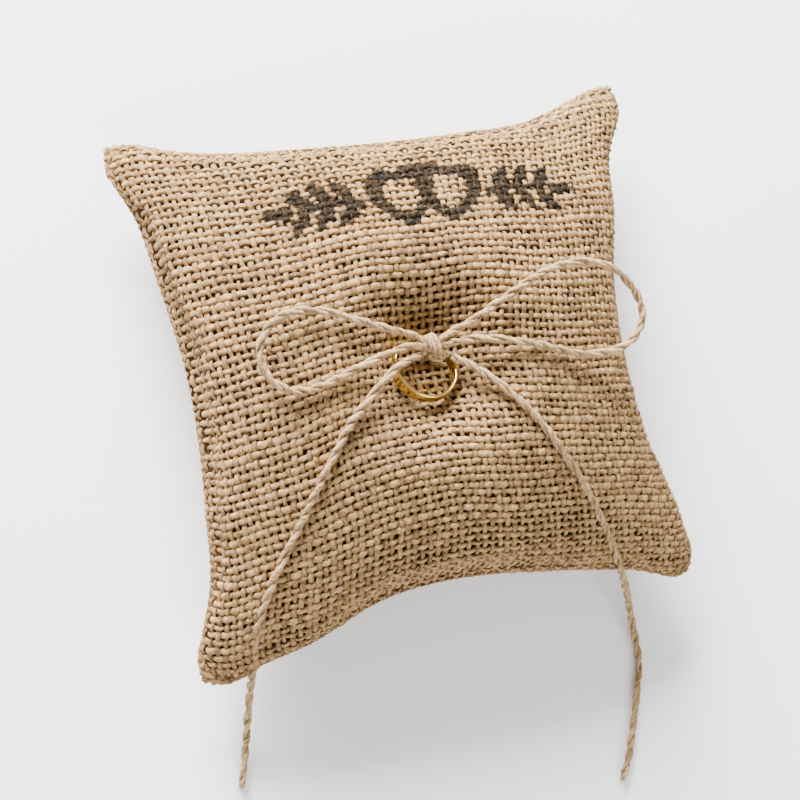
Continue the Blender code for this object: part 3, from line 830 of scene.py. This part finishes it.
@dataclass(frozen=True)
class ClothFinish:
    """Plain close cloth or wadding, patchy in shade with a fine nap."""

    name: str
    pale: tuple
    deep: tuple
    roughness: float
    nap_scale: float
    bump: float
    gloss: float = 0.05
    patch_scale: float = 60.0
    nap_depth: float = 0.2 * MM

    def build(self) -> bpy.types.Material:
        """Make the material."""
        surface = Surface(self.name, self.roughness, gloss=self.gloss)
        patches = surface.effect(Effect.PATCHES, surface.place(), Scale=self.patch_scale)
        nap = surface.effect(Effect.PATCHES, surface.place(), Scale=self.nap_scale)
        surface.colour(surface.mix(patches.outputs["Mask"], self.deep, self.pale))
        surface.bump(nap.outputs["Mask"], self.bump, self.nap_depth)
        return surface.material


@dataclass(frozen=True)
class GoldFinish:
    """Polished gold with fine wear: hairline streaks round the band that roughen it a little."""

    name: str = "gold"
    pale: tuple = (0.93, 0.70, 0.24)
    deep: tuple = (0.78, 0.55, 0.14)
    roughness: float = 0.17
    smoother: float = 0.05
    rougher: float = 0.12
    patch_scale: float = 260.0

    def build(self) -> bpy.types.Material:
        """Make the material."""
        surface = Surface(self.name, self.roughness, metallic=1.0)
        streaks = surface.effect(Effect.STREAKS, surface.uv(), Around=34.0, Along=1.3)
        patches = surface.effect(Effect.PATCHES, surface.place(), Scale=self.patch_scale)
        surface.colour(surface.mix(patches.outputs["Mask"], self.deep, self.pale))
        rough = surface.ranged(streaks.outputs["Mask"], self.roughness - self.smoother,
                               self.roughness + self.rougher)
        surface.links.new(rough, surface.shader.inputs["Roughness"])
        surface.bump(streaks.outputs["Height"], 0.06, 0.02 * MM)
        return surface.material


class Palette:
    """Every finish of the pillow, built once."""

    def __init__(self) -> None:
        """Build the shared effects, then the materials."""
        make_streaks()
        make_patches()
        self.warp = FibreFinish("hessian_warp", (0.56, 0.346, 0.150), (0.088, 0.040, 0.013)).build()
        self.weft = FibreFinish("hessian_weft", (0.62, 0.390, 0.174), (0.100, 0.047, 0.015)).build()
        self.jute = FibreFinish("jute_twine", (0.66, 0.445, 0.230), (0.135, 0.070, 0.027), around=5.0,
                                bump=0.9).build()
        self.thread = FibreFinish("seam_thread", (0.46, 0.28, 0.145), (0.20, 0.11, 0.05), around=3.0,
                                  along=12.0).build()
        # The inner bag's dark brown is painted shade: it stands in for the shade seen through the gaps of the
        # weave.
        self.calico = ClothFinish("lining_with_painted_gap_shade", (0.090, 0.047, 0.021), (0.050, 0.025, 0.011), 0.95, 900.0,
                                  0.3).build()
        self.wadding = ClothFinish("wadding", (0.86, 0.85, 0.82), (0.72, 0.70, 0.66), 1.0, 420.0, 0.8).build()
        self.gold = GoldFinish().build()


# ---------------------------------------------------------------- printed ornament
@dataclass
class Ornament:
    """A stencil in ink: two linked hearts between two leafy sprigs, as a cover from 0 to 1 over the plan."""

    centre: tuple = (5.5 * MM, 43.4 * MM)
    tilt: float = math.radians(-1.8)
    heart_size: float = 8.4 * MM
    heart_hole: float = 0.56
    hole_lift: float = 0.06
    heart_shift: float = 6.3 * MM
    heart_lean: float = math.radians(9.0)
    sprig_start: float = 17.0 * MM
    sprig_length: float = 19.0 * MM
    leaf_half_length: float = 4.8 * MM
    leaf_half_width: float = 2.0 * MM
    leaf_angle: float = math.radians(47.0)
    leaf_pairs: int = 3
    first_pair: float = 0.35
    stem_half_width: float = 0.9 * MM
    stem_bend: float = 1.2 * MM

    @staticmethod
    def turned(x: np.ndarray, y: np.ndarray, angle: float) -> tuple[np.ndarray, np.ndarray]:
        """Coordinates along axes turned by an angle."""
        return x * math.cos(angle) + y * math.sin(angle), y * math.cos(angle) - x * math.sin(angle)

    def heart(self, x: np.ndarray, y: np.ndarray) -> np.ndarray:
        """Whether points lie in a heart's band: inside (x^2+y^2-1)^3 = x^2 y^3, outside its smaller copy."""
        def inside(u: np.ndarray, v: np.ndarray) -> np.ndarray:
            """Whether points lie in the heart of unit size."""
            return (u ** 2 + v ** 2 - 1) ** 3 - u ** 2 * v ** 3 < 0
        u, v = x / self.heart_size, y / self.heart_size
        return inside(u, v) & ~inside(u / self.heart_hole, (v - self.hole_lift) / self.heart_hole)

    def leaf(self, x: np.ndarray, y: np.ndarray, angle: float) -> np.ndarray:
        """Whether points lie in a pointed leaf, of half width w (1 - (u / l)^2) about its own middle."""
        u, v = self.turned(x, y, angle)
        u = u - self.leaf_half_length
        return np.abs(v) < self.leaf_half_width * (1 - (u / self.leaf_half_length) ** 2)

    def sprig(self, x: np.ndarray, y: np.ndarray) -> np.ndarray:
        """Whether points lie in the sprig that runs along +x, its leaves in pairs and one at its tip."""
        bend = self.stem_bend * np.sin(x / self.sprig_length * math.pi)
        found = (np.abs(y - bend) < self.stem_half_width) & (x > 0) & (x < self.sprig_length)
        for pair in range(self.leaf_pairs):
            root = self.sprig_length * (pair + self.first_pair) / self.leaf_pairs
            for angle in (self.leaf_angle, -self.leaf_angle):
                found |= self.leaf(x - root, y - bend, angle)
        return found | self.leaf(x - self.sprig_length, y, 0.0)

    def cover(self, x: np.ndarray, y: np.ndarray) -> np.ndarray:
        """How much ink lies at plan positions.

        Args:
            x: Positions across the cushion.
            y: Positions up it.

        Returns:
            1 in the stencil, 0 outside.
        """
        x, y = self.turned(x - self.centre[0], y - self.centre[1], self.tilt)
        found = self.heart(*self.turned(x + self.heart_shift, y, self.heart_lean))
        found |= self.heart(*self.turned(x - self.heart_shift, y, -self.heart_lean))
        found |= self.sprig(x - self.sprig_start, y) | self.sprig(-x - self.sprig_start, y)
        return found.astype(float)


# ---------------------------------------------------------------- woven cover
class Run(Enum):
    """Which way a family of yarns runs."""

    WARP = 0
    WEFT = 1


@dataclass
class WovenCover:
    """The hessian cover, woven yarn by yarn over both faces, with its loose fibres.

    Stations are points along a yarn between two crossings, and sides the corners of its section. Inside
    flat_radius of the middle the fibres are pressed flat and short by the ring.
    """

    form: CushionForm
    palette: Palette
    ornament: Ornament = field(default_factory=Ornament)
    columns: int = 70
    rows: int = 66
    stations: int = 3
    sides: int = 6
    depth: float = 0.75 * MM
    edge_depth: float = 0.5 * MM
    thickness_share: float = 0.45
    weave_height: float = 0.46 * MM
    height_change: float = 0.15
    warp_half_width: float = 0.70 * MM
    weft_half_width: float = 0.78 * MM
    half_height: float = 0.42 * MM
    wander: float = 0.07
    yarn_sizes: tuple = (0.86, 1.14)
    slub: float = 0.12
    width_limits: tuple = (0.55, 1.5)
    height_limits: tuple = (0.75, 1.15)
    yarn_tones: tuple = (0.15, 0.80)
    tone_wave: float = 0.17
    # painted shade: how much lighter a yarn is where it rises over a crossing, and darker where it dips
    painted_relief_shade: float = 0.10
    tone_grain: float = 0.17
    arch: float = 0.058
    slant: float = 0.026
    slow_drift: float = 0.010
    quick_drift: float = 0.006
    twist: float = 1.7
    roughness: float = 0.075
    fibre_counts: tuple = (2600, 1500)
    fibre_lengths: tuple = (1.2 * MM, 4.2 * MM)
    fibre_radius: float = 0.035 * MM
    fibre_root: float = 0.25 * MM
    fibre_reach: float = 0.985
    free_lift: float = 0.42
    flat_lift: float = 0.06
    flat_share: float = 0.5
    flat_radius: float = 26.0 * MM

    def lay(self, p: np.ndarray, q: np.ndarray) -> tuple[np.ndarray, np.ndarray]:
        """Panel positions of weave positions: the rows arch by arch p^2 + slant p, and neighbouring yarns
        drift together in waves whose numbers are chosen freely. Both fade out towards the seams."""
        fade = (1 - p ** 2) * (1 - q ** 2)
        drift_a = (self.slow_drift * np.sin(5.1 * q + 2.3 * p + 0.6)
                   + self.quick_drift * np.sin(11.0 * q - 4.0 * p))
        drift_b = (self.slow_drift * np.sin(4.3 * p - 2.1 * q + 1.9)
                   + self.quick_drift * np.sin(9.0 * p + 5.0 * q))
        a = p + drift_a * fade
        b = q - (self.arch * p ** 2 + self.slant * p) * (1 - q ** 2) + drift_b * fade
        return a, b

    def family(self, facing: float, run: Run, seed: int) -> Shell:
        """All the yarns of one face that run one way.

        Each yarn rises and dips as cos(pi (own number + crossing number)), opposite to those that cross it.
        The lengths of its waves are counted in crossings.

        Args:
            facing: 1 for the front, -1 for the back.
            run: Warp, up the face, or weft, across it.
            seed: Which set of slubs and shades.

        Returns:
            The yarns as one shell with values tone, which holds painted shade at the crossings, and ink.
        """
        own, crossed = (self.columns, self.rows) if run is Run.WARP else (self.rows, self.columns)
        number = np.arange(own)[:, None]
        along = np.linspace(-1.0, 1.0, self.stations * crossed + 1)[None, :]
        crossing = (along + 1) / 2 * crossed - 0.5
        phase = np.cos(math.pi * (number + crossing + (run is Run.WEFT)))
        edge = np.minimum(1.0, (1 - np.abs(along)) * crossed / 2)
        sway = waves(seed, (own, 1), crossing, (9.0, 23.0)) * self.wander * edge
        across = -1 + (number + 0.5 + sway) * 2 / own
        p, q = np.broadcast_arrays(across, along) if run is Run.WARP else np.broadcast_arrays(along, across)
        lift = phase * edge * (1 + self.height_change * waves(seed + 5, (own, 1), crossing, (7.0,)))
        centres, normal = self.centrelines(facing, p, q, lift, edge)
        side, rise = line_frame(centres, normal)

        chance = np.random.default_rng(seed)
        slubs = 1 + self.slub * waves(seed + 1, (own, 1), crossing, (3.7, 11.0, 31.0))
        slubs = slubs * chance.uniform(*self.yarn_sizes, (own, 1))
        wide = self.warp_half_width if run is Run.WARP else self.weft_half_width
        half_width = wide * np.clip(slubs, *self.width_limits)
        half_height = self.half_height * np.clip(slubs, *self.height_limits)
        # The last term is painted shade: lighter where the yarn rises over a crossing, darker where it dips
        # under one.
        tone = (chance.uniform(*self.yarn_tones, (own, 1))
                + self.tone_wave * waves(seed + 2, (own, 1), crossing, (5.0, 17.0)) + self.painted_relief_shade * phase)
        grain = chance.normal(size=(*half_width.shape, self.sides))
        grain = (grain + np.roll(grain, (1, 1), axis=(1, 2)) + 0.6 * np.roll(grain, (2, 2), axis=(1, 2))) / 1.6
        values = {"tone": np.clip(tone[..., None] + self.tone_grain * grain, 0.0, 1.0)}
        if facing > 0:
            values["ink"] = self.ink(centres, phase)
        return tubes(centres, side, rise, half_width, half_height, self.sides, values, self.twist,
                     1 + self.roughness * np.clip(grain, -2, 2))

    def centrelines(self, facing: float, p: np.ndarray, q: np.ndarray, lift: np.ndarray,
                    edge: np.ndarray) -> tuple[np.ndarray, np.ndarray]:
        """Where yarns lie under one face.

        Args:
            facing: 1 for the front, -1 for the back.
            p: Weave positions across.
            q: Weave positions up.
            lift: How far a yarn rises, as a share of the weave's height.
            edge: 1 away from the seam, falling to 0 at it.

        Returns:
            The yarns' centres and the unit vectors out of the face there.
        """
        a, b = self.lay(p, q)
        surface, normal = self.form.at(facing, a, b), self.form.normal(facing, a, b)
        thick = np.linalg.norm(self.form.at(1.0, a, b) - self.form.at(-1.0, a, b), axis=-1)
        sunk = np.minimum(self.depth, self.thickness_share * thick) + self.edge_depth * (1 - edge)
        return surface + normal * (self.weave_height * lift - sunk)[..., None], normal

    def ink(self, centres: np.ndarray, phase: np.ndarray) -> np.ndarray:
        """How much ink each point of the front's yarns holds: most on top, a little less where a yarn dips."""
        angle = 2 * math.pi * np.arange(self.sides) / self.sides
        upper = np.clip(0.78 + 0.70 * np.sin(angle), 0.0, 1.0)
        cover = self.ornament.cover(centres[..., 0], centres[..., 1]) * (0.95 + 0.10 * phase)
        return np.clip(cover[..., None] * upper * 1.05, 0.0, 1.0)

    def loose_fibres(self, facing: float, count: int, seed: int) -> Shell:
        """Fibres that stand off one face, lying mostly along it and flatter where the ring lies."""
        chance = np.random.default_rng(seed)
        a, b = chance.uniform(-self.fibre_reach, self.fibre_reach, (2, count))
        normal = self.form.normal(facing, a, b)
        roots = self.form.at(facing, a, b) - normal * self.fibre_root
        heading = chance.normal(size=(count, 3))
        flat = np.hypot(roots[:, 0], roots[:, 1]) < self.flat_radius
        lift = np.where(flat, self.flat_lift, self.free_lift)[:, None] * normal
        heading = unit(unit(heading - normal * np.sum(heading * normal, axis=1, keepdims=True)) + lift)
        lengths = chance.uniform(*self.fibre_lengths, count) * np.where(flat, self.flat_share, 1.0)
        return hairs(roots, heading, lengths, self.fibre_radius, seed)

    def build(self) -> None:
        """Make the cover's pieces."""
        made = []
        for facing, side, seed in ((1.0, "front", 10), (-1.0, "back", 50)):
            for run, material in ((Run.WARP, self.palette.warp), (Run.WEFT, self.palette.weft)):
                shell = self.family(facing, run, seed + 20 * run.value)
                made.append(shell.piece(f"{side}_{run.name.lower()}", material, "root", "hessian"))
            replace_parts(made[-1], f"{side}_panel")
        fuzz = Shell.joined([self.loose_fibres(1.0, self.fibre_counts[0], 91),
                             self.loose_fibres(-1.0, self.fibre_counts[1], 92)])
        made.append(fuzz.piece("cover_fibres", self.palette.weft, "root", "hessian"))


# ---------------------------------------------------------------- inside and seams
@dataclass
class Inside:
    """The inner bag, the filling, and the threads along the seams."""

    form: CushionForm
    palette: Palette
    count: int = 61
    lining_depth: float = 1.9 * MM
    lining_thickness: float = 0.6 * MM
    lining_shares: tuple = (0.26, 0.36)
    lining_insets: tuple = (0.006, 0.010)
    filling_depth: float = 3.1 * MM
    filling_share: float = 0.43
    filling_inset: float = 0.04
    seam_zone: float = 8.0 * MM
    stitch_pitch: float = 0.036
    stitch_span: float = 0.97
    stitch_radius: float = 0.2 * MM
    stitch_sink: float = 0.45 * MM
    stitch_rise: float = 0.35 * MM
    stitch_inset: float = 0.002

    def layer(self, facing: float, depth: float, share: float, inset: float) -> np.ndarray:
        """Points under one face, by a depth but no more than a share of the cushion's thickness there.

        Args:
            facing: 1 for the front, -1 for the back.
            depth: How far under the face.
            share: Largest share of the thickness.
            inset: Share of the panel left out along each edge.

        Returns:
            Grid of points.
        """
        line = np.linspace(inset - 1.0, 1.0 - inset, self.count)
        a, b = np.meshgrid(line, line)
        outer, other = self.form.at(facing, a, b), self.form.at(-facing, a, b)
        thick = np.linalg.norm(outer - other, axis=-1, keepdims=True)
        normal = self.form.normal(facing, a, b)
        inwards = unit(other - outer + 1e-9)
        near_seam = np.clip(1 - thick / self.seam_zone, 0.0, 1.0)
        return outer + unit(-normal * (1 - near_seam) + inwards * near_seam) * np.minimum(depth, share * thick)

    def build(self) -> None:
        """Make the pieces inside the cover."""
        for facing, side in ((1.0, "front"), (-1.0, "back")):
            depths = (self.lining_depth, self.lining_depth + self.lining_thickness)
            pair = [self.layer(facing, *numbers)
                    for numbers in zip(depths, self.lining_shares, self.lining_insets)]
            bag = closed_between(*(pair if facing > 0 else pair[::-1]))
            lining = bag.piece(f"inner_bag_{side}", self.palette.calico, "root", "calico")
            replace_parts(lining, f"lining_{side}")
        filled = closed_between(*(self.layer(facing, self.filling_depth, self.filling_share, self.filling_inset)
                                  for facing in (1.0, -1.0)))
        stuffing = filled.piece("stuffing", self.palette.wadding, "root", "wadding")
        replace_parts(stuffing, "filling")
        seam = self.stitches("seam_stitches", (0, 1, 2), self.stitch_pitch, 0.62, 0.0)
        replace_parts(seam, "seam_thread")
        closing = self.stitches("closing_stitches", (3,), 1.5 * self.stitch_pitch, 0.5, 0.010)
        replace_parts(closing, "closing_thread")

    def stitches(self, name: str, edges: tuple, pitch: float, length: float, slant: float) -> bpy.types.Object:
        """Short threads along the seam, each an arc that stands out of the groove at its middle.

        Args:
            name: Name of the piece.
            edges: Which sides: left 0, top 1, right 2, bottom 3.
            pitch: Distance between stitches as a share of half the side.
            length: Share of the pitch that a stitch covers.
            slant: How far its ends lie to the front and back of the seam.

        Returns:
            The new object.
        """
        starts = np.arange(-self.stitch_span, self.stitch_span, pitch)[:, None]
        share = np.linspace(0.0, 1.0, 7)[None, :]
        along = starts + pitch * length * share
        lift = np.sin(math.pi * share)
        off = 1 - slant * np.abs(2 * share - 1) - self.stitch_inset
        lines, outwards = [], []
        for edge in edges:
            fixed = (-1.0, 1.0, 1.0, -1.0)[edge] * off * np.ones_like(along)
            a, b = (fixed, along) if edge in (0, 2) else (along, fixed)
            here = (self.form.at(1.0, a, b) * (share < 0.5)[..., None]
                    + self.form.at(-1.0, a, b) * (share >= 0.5)[..., None])
            out = unit(np.stack([a * (edge in (0, 2)), b * (edge in (1, 3)), np.zeros_like(a)], axis=-1))
            lines.append(here + out * (self.stitch_rise * lift[..., None] - self.stitch_sink))
            outwards.append(out)
        line, outward = np.concatenate(lines), np.concatenate(outwards)
        side, rise = line_frame(line, outward)
        thin = self.stitch_radius * np.ones(line.shape[:2])
        shell = tubes(line, side, rise, thin, thin, 6, {"tone": np.full(thin.shape, 0.5)})
        return shell.piece(name, self.palette.thread, "root", "thread")


# ---------------------------------------------------------------- ring
@dataclass
class Ring:
    """A plain gold band that leans up the slope of the dimple, round the tuft cord."""

    palette: Palette
    outer_radius: float = 9.2 * MM
    wall: float = 0.85 * MM
    band: float = 3.5 * MM
    tilt: float = math.radians(23.0)
    direction: float = math.radians(-125.0)
    segments: int = 160
    section: int = 28
    squareness: float = 0.42

    def build(self) -> None:
        """Carry a rounded oblong section, |cos|^squareness by |sin|^squareness, round the ring's own axis."""
        centre, _ = middle_and_half("ring")
        outwards = np.array([math.cos(self.direction), math.sin(self.direction), 0.0])
        lean = outwards * math.cos(self.tilt) + UP * math.sin(self.tilt)
        across = np.array([-math.sin(self.direction), math.cos(self.direction), 0.0])
        axis = np.cross(lean, across)
        turn = 2 * math.pi * np.arange(self.section) / self.section
        along_radius = np.sign(np.cos(turn)) * np.abs(np.cos(turn)) ** self.squareness
        along_axis = np.sign(np.sin(turn)) * np.abs(np.sin(turn)) ** self.squareness
        radius = self.outer_radius - self.wall / 2 * (1 - along_radius)
        height = self.band / 2 * along_axis
        angle = 2 * math.pi * np.arange(self.segments) / self.segments
        spoke = np.cos(angle)[:, None] * lean + np.sin(angle)[:, None] * across
        points = centre + spoke[:, None] * radius[None, :, None] + axis * height[None, :, None]
        index = np.arange(self.segments * self.section).reshape(self.segments, self.section)
        onward, up = np.roll(index, -1, axis=0), np.roll(index, -1, axis=1)
        both = np.roll(onward, -1, axis=1)
        quads = np.stack([index, onward, both, up], axis=-1).reshape(-1, 4)
        u = np.broadcast_to(np.arange(self.section) / self.section, index.shape)
        v = np.broadcast_to(angle[:, None] * self.outer_radius * CENTIMETRES, index.shape)
        du, dv = 1 / self.section, 2 * math.pi / self.segments * self.outer_radius * CENTIMETRES
        uv = np.stack([np.stack([u, v], -1), np.stack([u, v + dv], -1), np.stack([u + du, v + dv], -1),
                       np.stack([u + du, v], -1)], axis=-2).reshape(-1, 4, 2)
        ring = Shell(points.reshape(-1, 3), [quads], [uv]).piece("gold_ring", self.palette.gold, "ring", "gold")
        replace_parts(ring, "ring")


# ---------------------------------------------------------------- twine
@dataclass
class Twine:
    """Two-ply jute twine along a path, with the loose fibres that stand off it.

    ply_offset and ply_radius are shares of the twine's diameter. Each ply is a little wider than it is high.
    """

    path: np.ndarray
    seed: int
    diameter: float = 2.2 * MM
    lay_length: float = 11.5 * MM
    ply_offset: float = 0.245
    ply_radius: float = 0.295
    ply_width: float = 1.06
    ply_height: float = 0.92
    looseness: float = 0.10
    twist_change: float = 0.8
    lump: float = 0.09
    tone_wave: float = 0.16
    tone_grain: float = 0.13
    fibre_twist: float = -0.9
    sides: int = 11
    grain: float = 0.07
    fibres_per_mm: float = 3.2
    fibre_reach: float = 2.1 * MM
    fibre_radius: float = 0.04 * MM
    fibre_root: float = 0.40
    brush_count: int = 46
    brush_spread: float = 0.42
    frayed_end: bool = False

    def plies(self) -> Shell:
        """Two strands wound round the path: centre + radius (side cos + up sin)(twist + half a turn)."""
        side, rise = line_frame(self.path, UP)
        gone = travelled(self.path)
        length = gone[-1]
        loose = 1 + self.looseness * waves(self.seed, (1,), gone / MM, (19.0, 41.0))
        change = self.twist_change * waves(self.seed + 1, (1,), gone / MM, (31.0, 67.0))
        twist = 2 * math.pi * gone / self.lay_length + change
        turn = twist[None, :] + math.pi * np.arange(2)[:, None]
        outward = np.cos(turn)[..., None] * side + np.sin(turn)[..., None] * rise
        centres = self.path + outward * (self.ply_offset * self.diameter * loose)[None, :, None]
        ply_side, ply_rise = line_frame(centres, outward)
        lumps = 1 + self.lump * waves(self.seed + 2, (2, 1), gone / MM, (2.9, 7.0, 17.0))
        ends = np.minimum(1.0, 0.55 + np.minimum(gone, length - gone) / (1.2 * MM))
        ply = self.ply_radius * self.diameter * lumps * ends
        tone = 0.5 + self.tone_wave * waves(self.seed + 3, (2, 1), gone / MM, (4.0, 13.0, 37.0))
        chance = np.random.default_rng(self.seed + 9)
        grain = chance.normal(size=(*ply.shape, self.sides))
        for _ in range(3):
            grain = (grain + np.roll(grain, (1, 1), axis=(1, 2)) * 0.9) / 1.3
        tone = np.clip(tone[..., None] + self.tone_grain * grain, 0.0, 1.0)
        return tubes(centres, ply_side, ply_rise, ply * self.ply_width, ply * self.ply_height, self.sides,
                     {"tone": tone}, self.fibre_twist, 1 + self.grain * np.clip(grain, -2, 2))

    def fibres(self) -> Shell:
        """Loose fibres, set off mostly along the twine, and a brush of them at a frayed end."""
        chance = np.random.default_rng(self.seed + 4)
        side, rise = line_frame(self.path, UP)
        along = unit(np.gradient(self.path, axis=0))
        length = travelled(self.path)[-1]
        count = int(self.fibres_per_mm * length / MM)
        place = chance.integers(2, len(self.path) - 2, count)
        turn = chance.uniform(0, 2 * math.pi, count)[:, None]
        outward = np.cos(turn) * side[place] + np.sin(turn) * rise[place]
        roots = self.path[place] + outward * self.fibre_root * self.diameter
        heading = unit(outward * chance.uniform(0.15, 0.75, (count, 1))
                       + along[place] * chance.choice([-1.0, 1.0], (count, 1)))
        reach = self.fibre_reach * chance.uniform(0.3, 1.0, count)
        if self.frayed_end:
            turn = chance.uniform(0, 2 * math.pi, self.brush_count)[:, None]
            spoke = np.cos(turn) * side[-1] + np.sin(turn) * rise[-1]
            out = chance.uniform(0.0, self.brush_spread, (self.brush_count, 1))
            roots = np.concatenate([roots, self.path[-3] + spoke * out * self.diameter])
            heading = np.concatenate([heading, unit(along[-1] + spoke * out)])
            reach = np.concatenate([reach, chance.uniform(1.2, 2.8, self.brush_count) * MM])
        return hairs(roots, heading, reach, self.fibre_radius, self.seed + 5)

    def shell(self) -> Shell:
        """The strands and the fibres together."""
        return Shell.joined([self.plies(), self.fibres()])


@dataclass
class Bow:
    """The bow: two loops that lift about the knot, two tails over the front edge, the knot, and the tuft."""

    palette: Palette
    diameter: float = 2.2 * MM
    spacing: float = 0.42 * MM
    knot_diameter: float = 1.9 * MM
    wrap_turn: float = 3.4 * math.pi
    wrap_start: float = 0.4
    wrap_reach: float = 3.1 * MM
    wrap_height: float = 1.9 * MM
    wrap_lift: float = 0.3 * MM
    wrap_half_length: float = 1.05 * MM
    wrap_heading: tuple = (0.93, 0.36, 0.0)

    def cord(self, name: str, route: list, body: str, node: str, seed: int, into_knot: bool) -> None:
        """One run of twine that leaves the knot.

        Args:
            name: Name of the piece.
            route: Points in metres, from the knot.
            body: The body that it rides on.
            node: The CAD node that it stands for.
            seed: Which set of fibres.
            into_knot: Whether its far end goes back into the knot.
        """
        path = smooth_line(route, self.spacing)
        twine = Twine(path, seed, self.diameter, frayed_end=not into_knot)
        piece = twine.shell().piece(name, self.palette.jute, body, "jute")
        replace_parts(piece, node)

    def knot(self) -> None:
        """The knot: strands drawn together under nearly two slanted turns, with a ruffled clump under it."""
        centre, _ = middle_and_half("bow_knot")
        share = np.linspace(0.0, 1.0, 60)[:, None]
        turn = self.wrap_turn * share + self.wrap_start
        across = unit(np.array(self.wrap_heading))
        slant = np.cross(across, UP)
        wrap = (centre + slant * self.wrap_reach * np.cos(turn)
                + UP * (self.wrap_height * np.sin(turn) + self.wrap_lift)
                + across * self.wrap_half_length * (2 * share - 1))
        shells = [Twine(wrap, 700, self.knot_diameter, fibres_per_mm=6.0).shell()]
        for number, strand in enumerate(KNOT_STRANDS):
            path = smooth_line([tuple(centre + np.array(point) * MM) for point in strand], self.spacing)
            shells.append(Twine(path, 710 + 10 * number, self.knot_diameter, fibres_per_mm=7.0).shell())
        knot = Shell.joined(shells).piece("knot", self.palette.jute, "root", "jute")
        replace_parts(knot, "bow_knot")

    def tuft(self) -> None:
        """The cord that dimples the cushion, and the stitch that stops it at the back.

        Each runs along the longest side of its node's box, and leans by a hair so that it has a side and an up.
        """
        lean = np.array([1e-6, 0.0, 0.0])
        for name, node, seed in (("tuft_twine", "tuft_cord", 800), ("back_stitch_twine", "back_stitch", 820)):
            middle, half = middle_and_half(node)
            reach = half * (np.arange(3) == np.argmax(half))
            line = np.linspace(middle - reach, middle + reach, max(8, int(2 * np.max(half) / self.spacing)))
            line = line + lean * np.arange(len(line))[:, None]
            shell = Twine(line, seed, 2 * float(np.min(half)), fibres_per_mm=1.5).shell()
            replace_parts(shell.piece(name, self.palette.jute, "root", "jute"), node)

    def build(self) -> None:
        """Make the bow's pieces."""
        self.cord("loop_left_twine", LEFT_LOOP_ROUTE, "loop_left", "bow_loop_left", 610, True)
        self.cord("loop_right_twine", RIGHT_LOOP_ROUTE, "loop_right", "bow_loop_right", 630, True)
        self.cord("tail_left_twine", LEFT_TAIL_ROUTE, "root", "tail_left", 650, False)
        self.cord("tail_right_twine", RIGHT_TAIL_ROUTE, "root", "tail_right", 670, False)
        self.knot()
        self.tuft()


# ---------------------------------------------------------------- studio
@dataclass
class Studio:
    """A pale floor, low soft light from beyond the ornament's edge, weaker light from the other side, and
    the camera."""

    eye: tuple = (-0.12123, -0.03522, 0.45952)
    right: tuple = (0.95404, -0.18089, 0.23892)
    up: tuple = (0.16040, 0.98169, 0.10273)
    lens: float = 72.51
    sensor: float = 36.0
    clip: tuple = (0.01, 20.0)
    aim: tuple = (0.0, 0.0, 0.03)
    floor_half: float = 3.0
    floor_drop: float = 0.25 * MM
    floor_shades: tuple = ((0.95, 0.95, 0.95), (0.97, 0.97, 0.97))
    sky: float = 0.53

    def camera(self) -> None:
        """Place the camera by its right and up directions."""
        right, up = Vector(self.right).normalized(), Vector(self.up).normalized()
        data = bpy.data.cameras.new("camera")
        data.lens, data.sensor_width = self.lens, self.sensor
        data.clip_start, data.clip_end = self.clip
        camera = bpy.data.objects.new("camera", data)
        turn = Matrix((right, up, right.cross(up))).transposed().to_4x4()
        camera.matrix_world = Matrix.Translation(self.eye) @ turn
        bpy.context.scene.collection.objects.link(camera)
        bpy.context.scene.camera = camera

    def lamp(self, name: str, place: tuple, size: float, power: float) -> None:
        """A square area light that faces the cushion."""
        data = bpy.data.lights.new(name, "AREA")
        data.size, data.energy = size, power
        lamp = bpy.data.objects.new(name, data)
        lamp.location = place
        lamp.rotation_euler = (Vector(self.aim) - Vector(place)).to_track_quat("-Z", "Y").to_euler()
        bpy.context.scene.collection.objects.link(lamp)

    def floor(self) -> None:
        """One pale square under everything."""
        corners = np.array([[-1, -1, 0], [1, -1, 0], [1, 1, 0], [-1, 1, 0]], float) * self.floor_half
        mesh = bpy.data.meshes.new("floor")
        mesh.from_pydata((corners - UP * self.floor_drop).tolist(), [], [(0, 1, 2, 3)])
        surface = Surface("pale_floor", 0.6)
        patches = surface.effect(Effect.PATCHES, surface.place(), Scale=3.0)
        surface.colour(surface.mix(patches.outputs["Mask"], *self.floor_shades))
        mesh.materials.append(surface.material)
        floor = bpy.data.objects.new("floor", mesh)
        bpy.context.scene.collection.objects.link(floor)

    def build(self) -> None:
        """Set up the floor, the lights and the camera."""
        self.floor()
        world = bpy.data.worlds.new("studio")
        world.use_nodes = True
        sockets = world.node_tree.nodes["Background"].inputs
        sockets["Color"].default_value = (1.0, 1.0, 1.0, 1.0)
        sockets["Strength"].default_value = self.sky
        bpy.context.scene.world = world
        self.lamp("key", (-0.18, 1.00, 0.43), 0.6, 118.0)
        self.lamp("fill", (0.10, -0.95, 0.55), 0.9, 17.0)
        self.camera()


def main() -> None:
    """Build the pillow piece by piece."""
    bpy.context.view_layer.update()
    palette = Palette()
    form = CushionForm()
    form.fill()
    WovenCover(form, palette).build()
    Inside(form, palette).build()
    Ring(palette).build()
    Bow(palette).build()
    Studio().build()


if __name__ == "__main__":
    main()
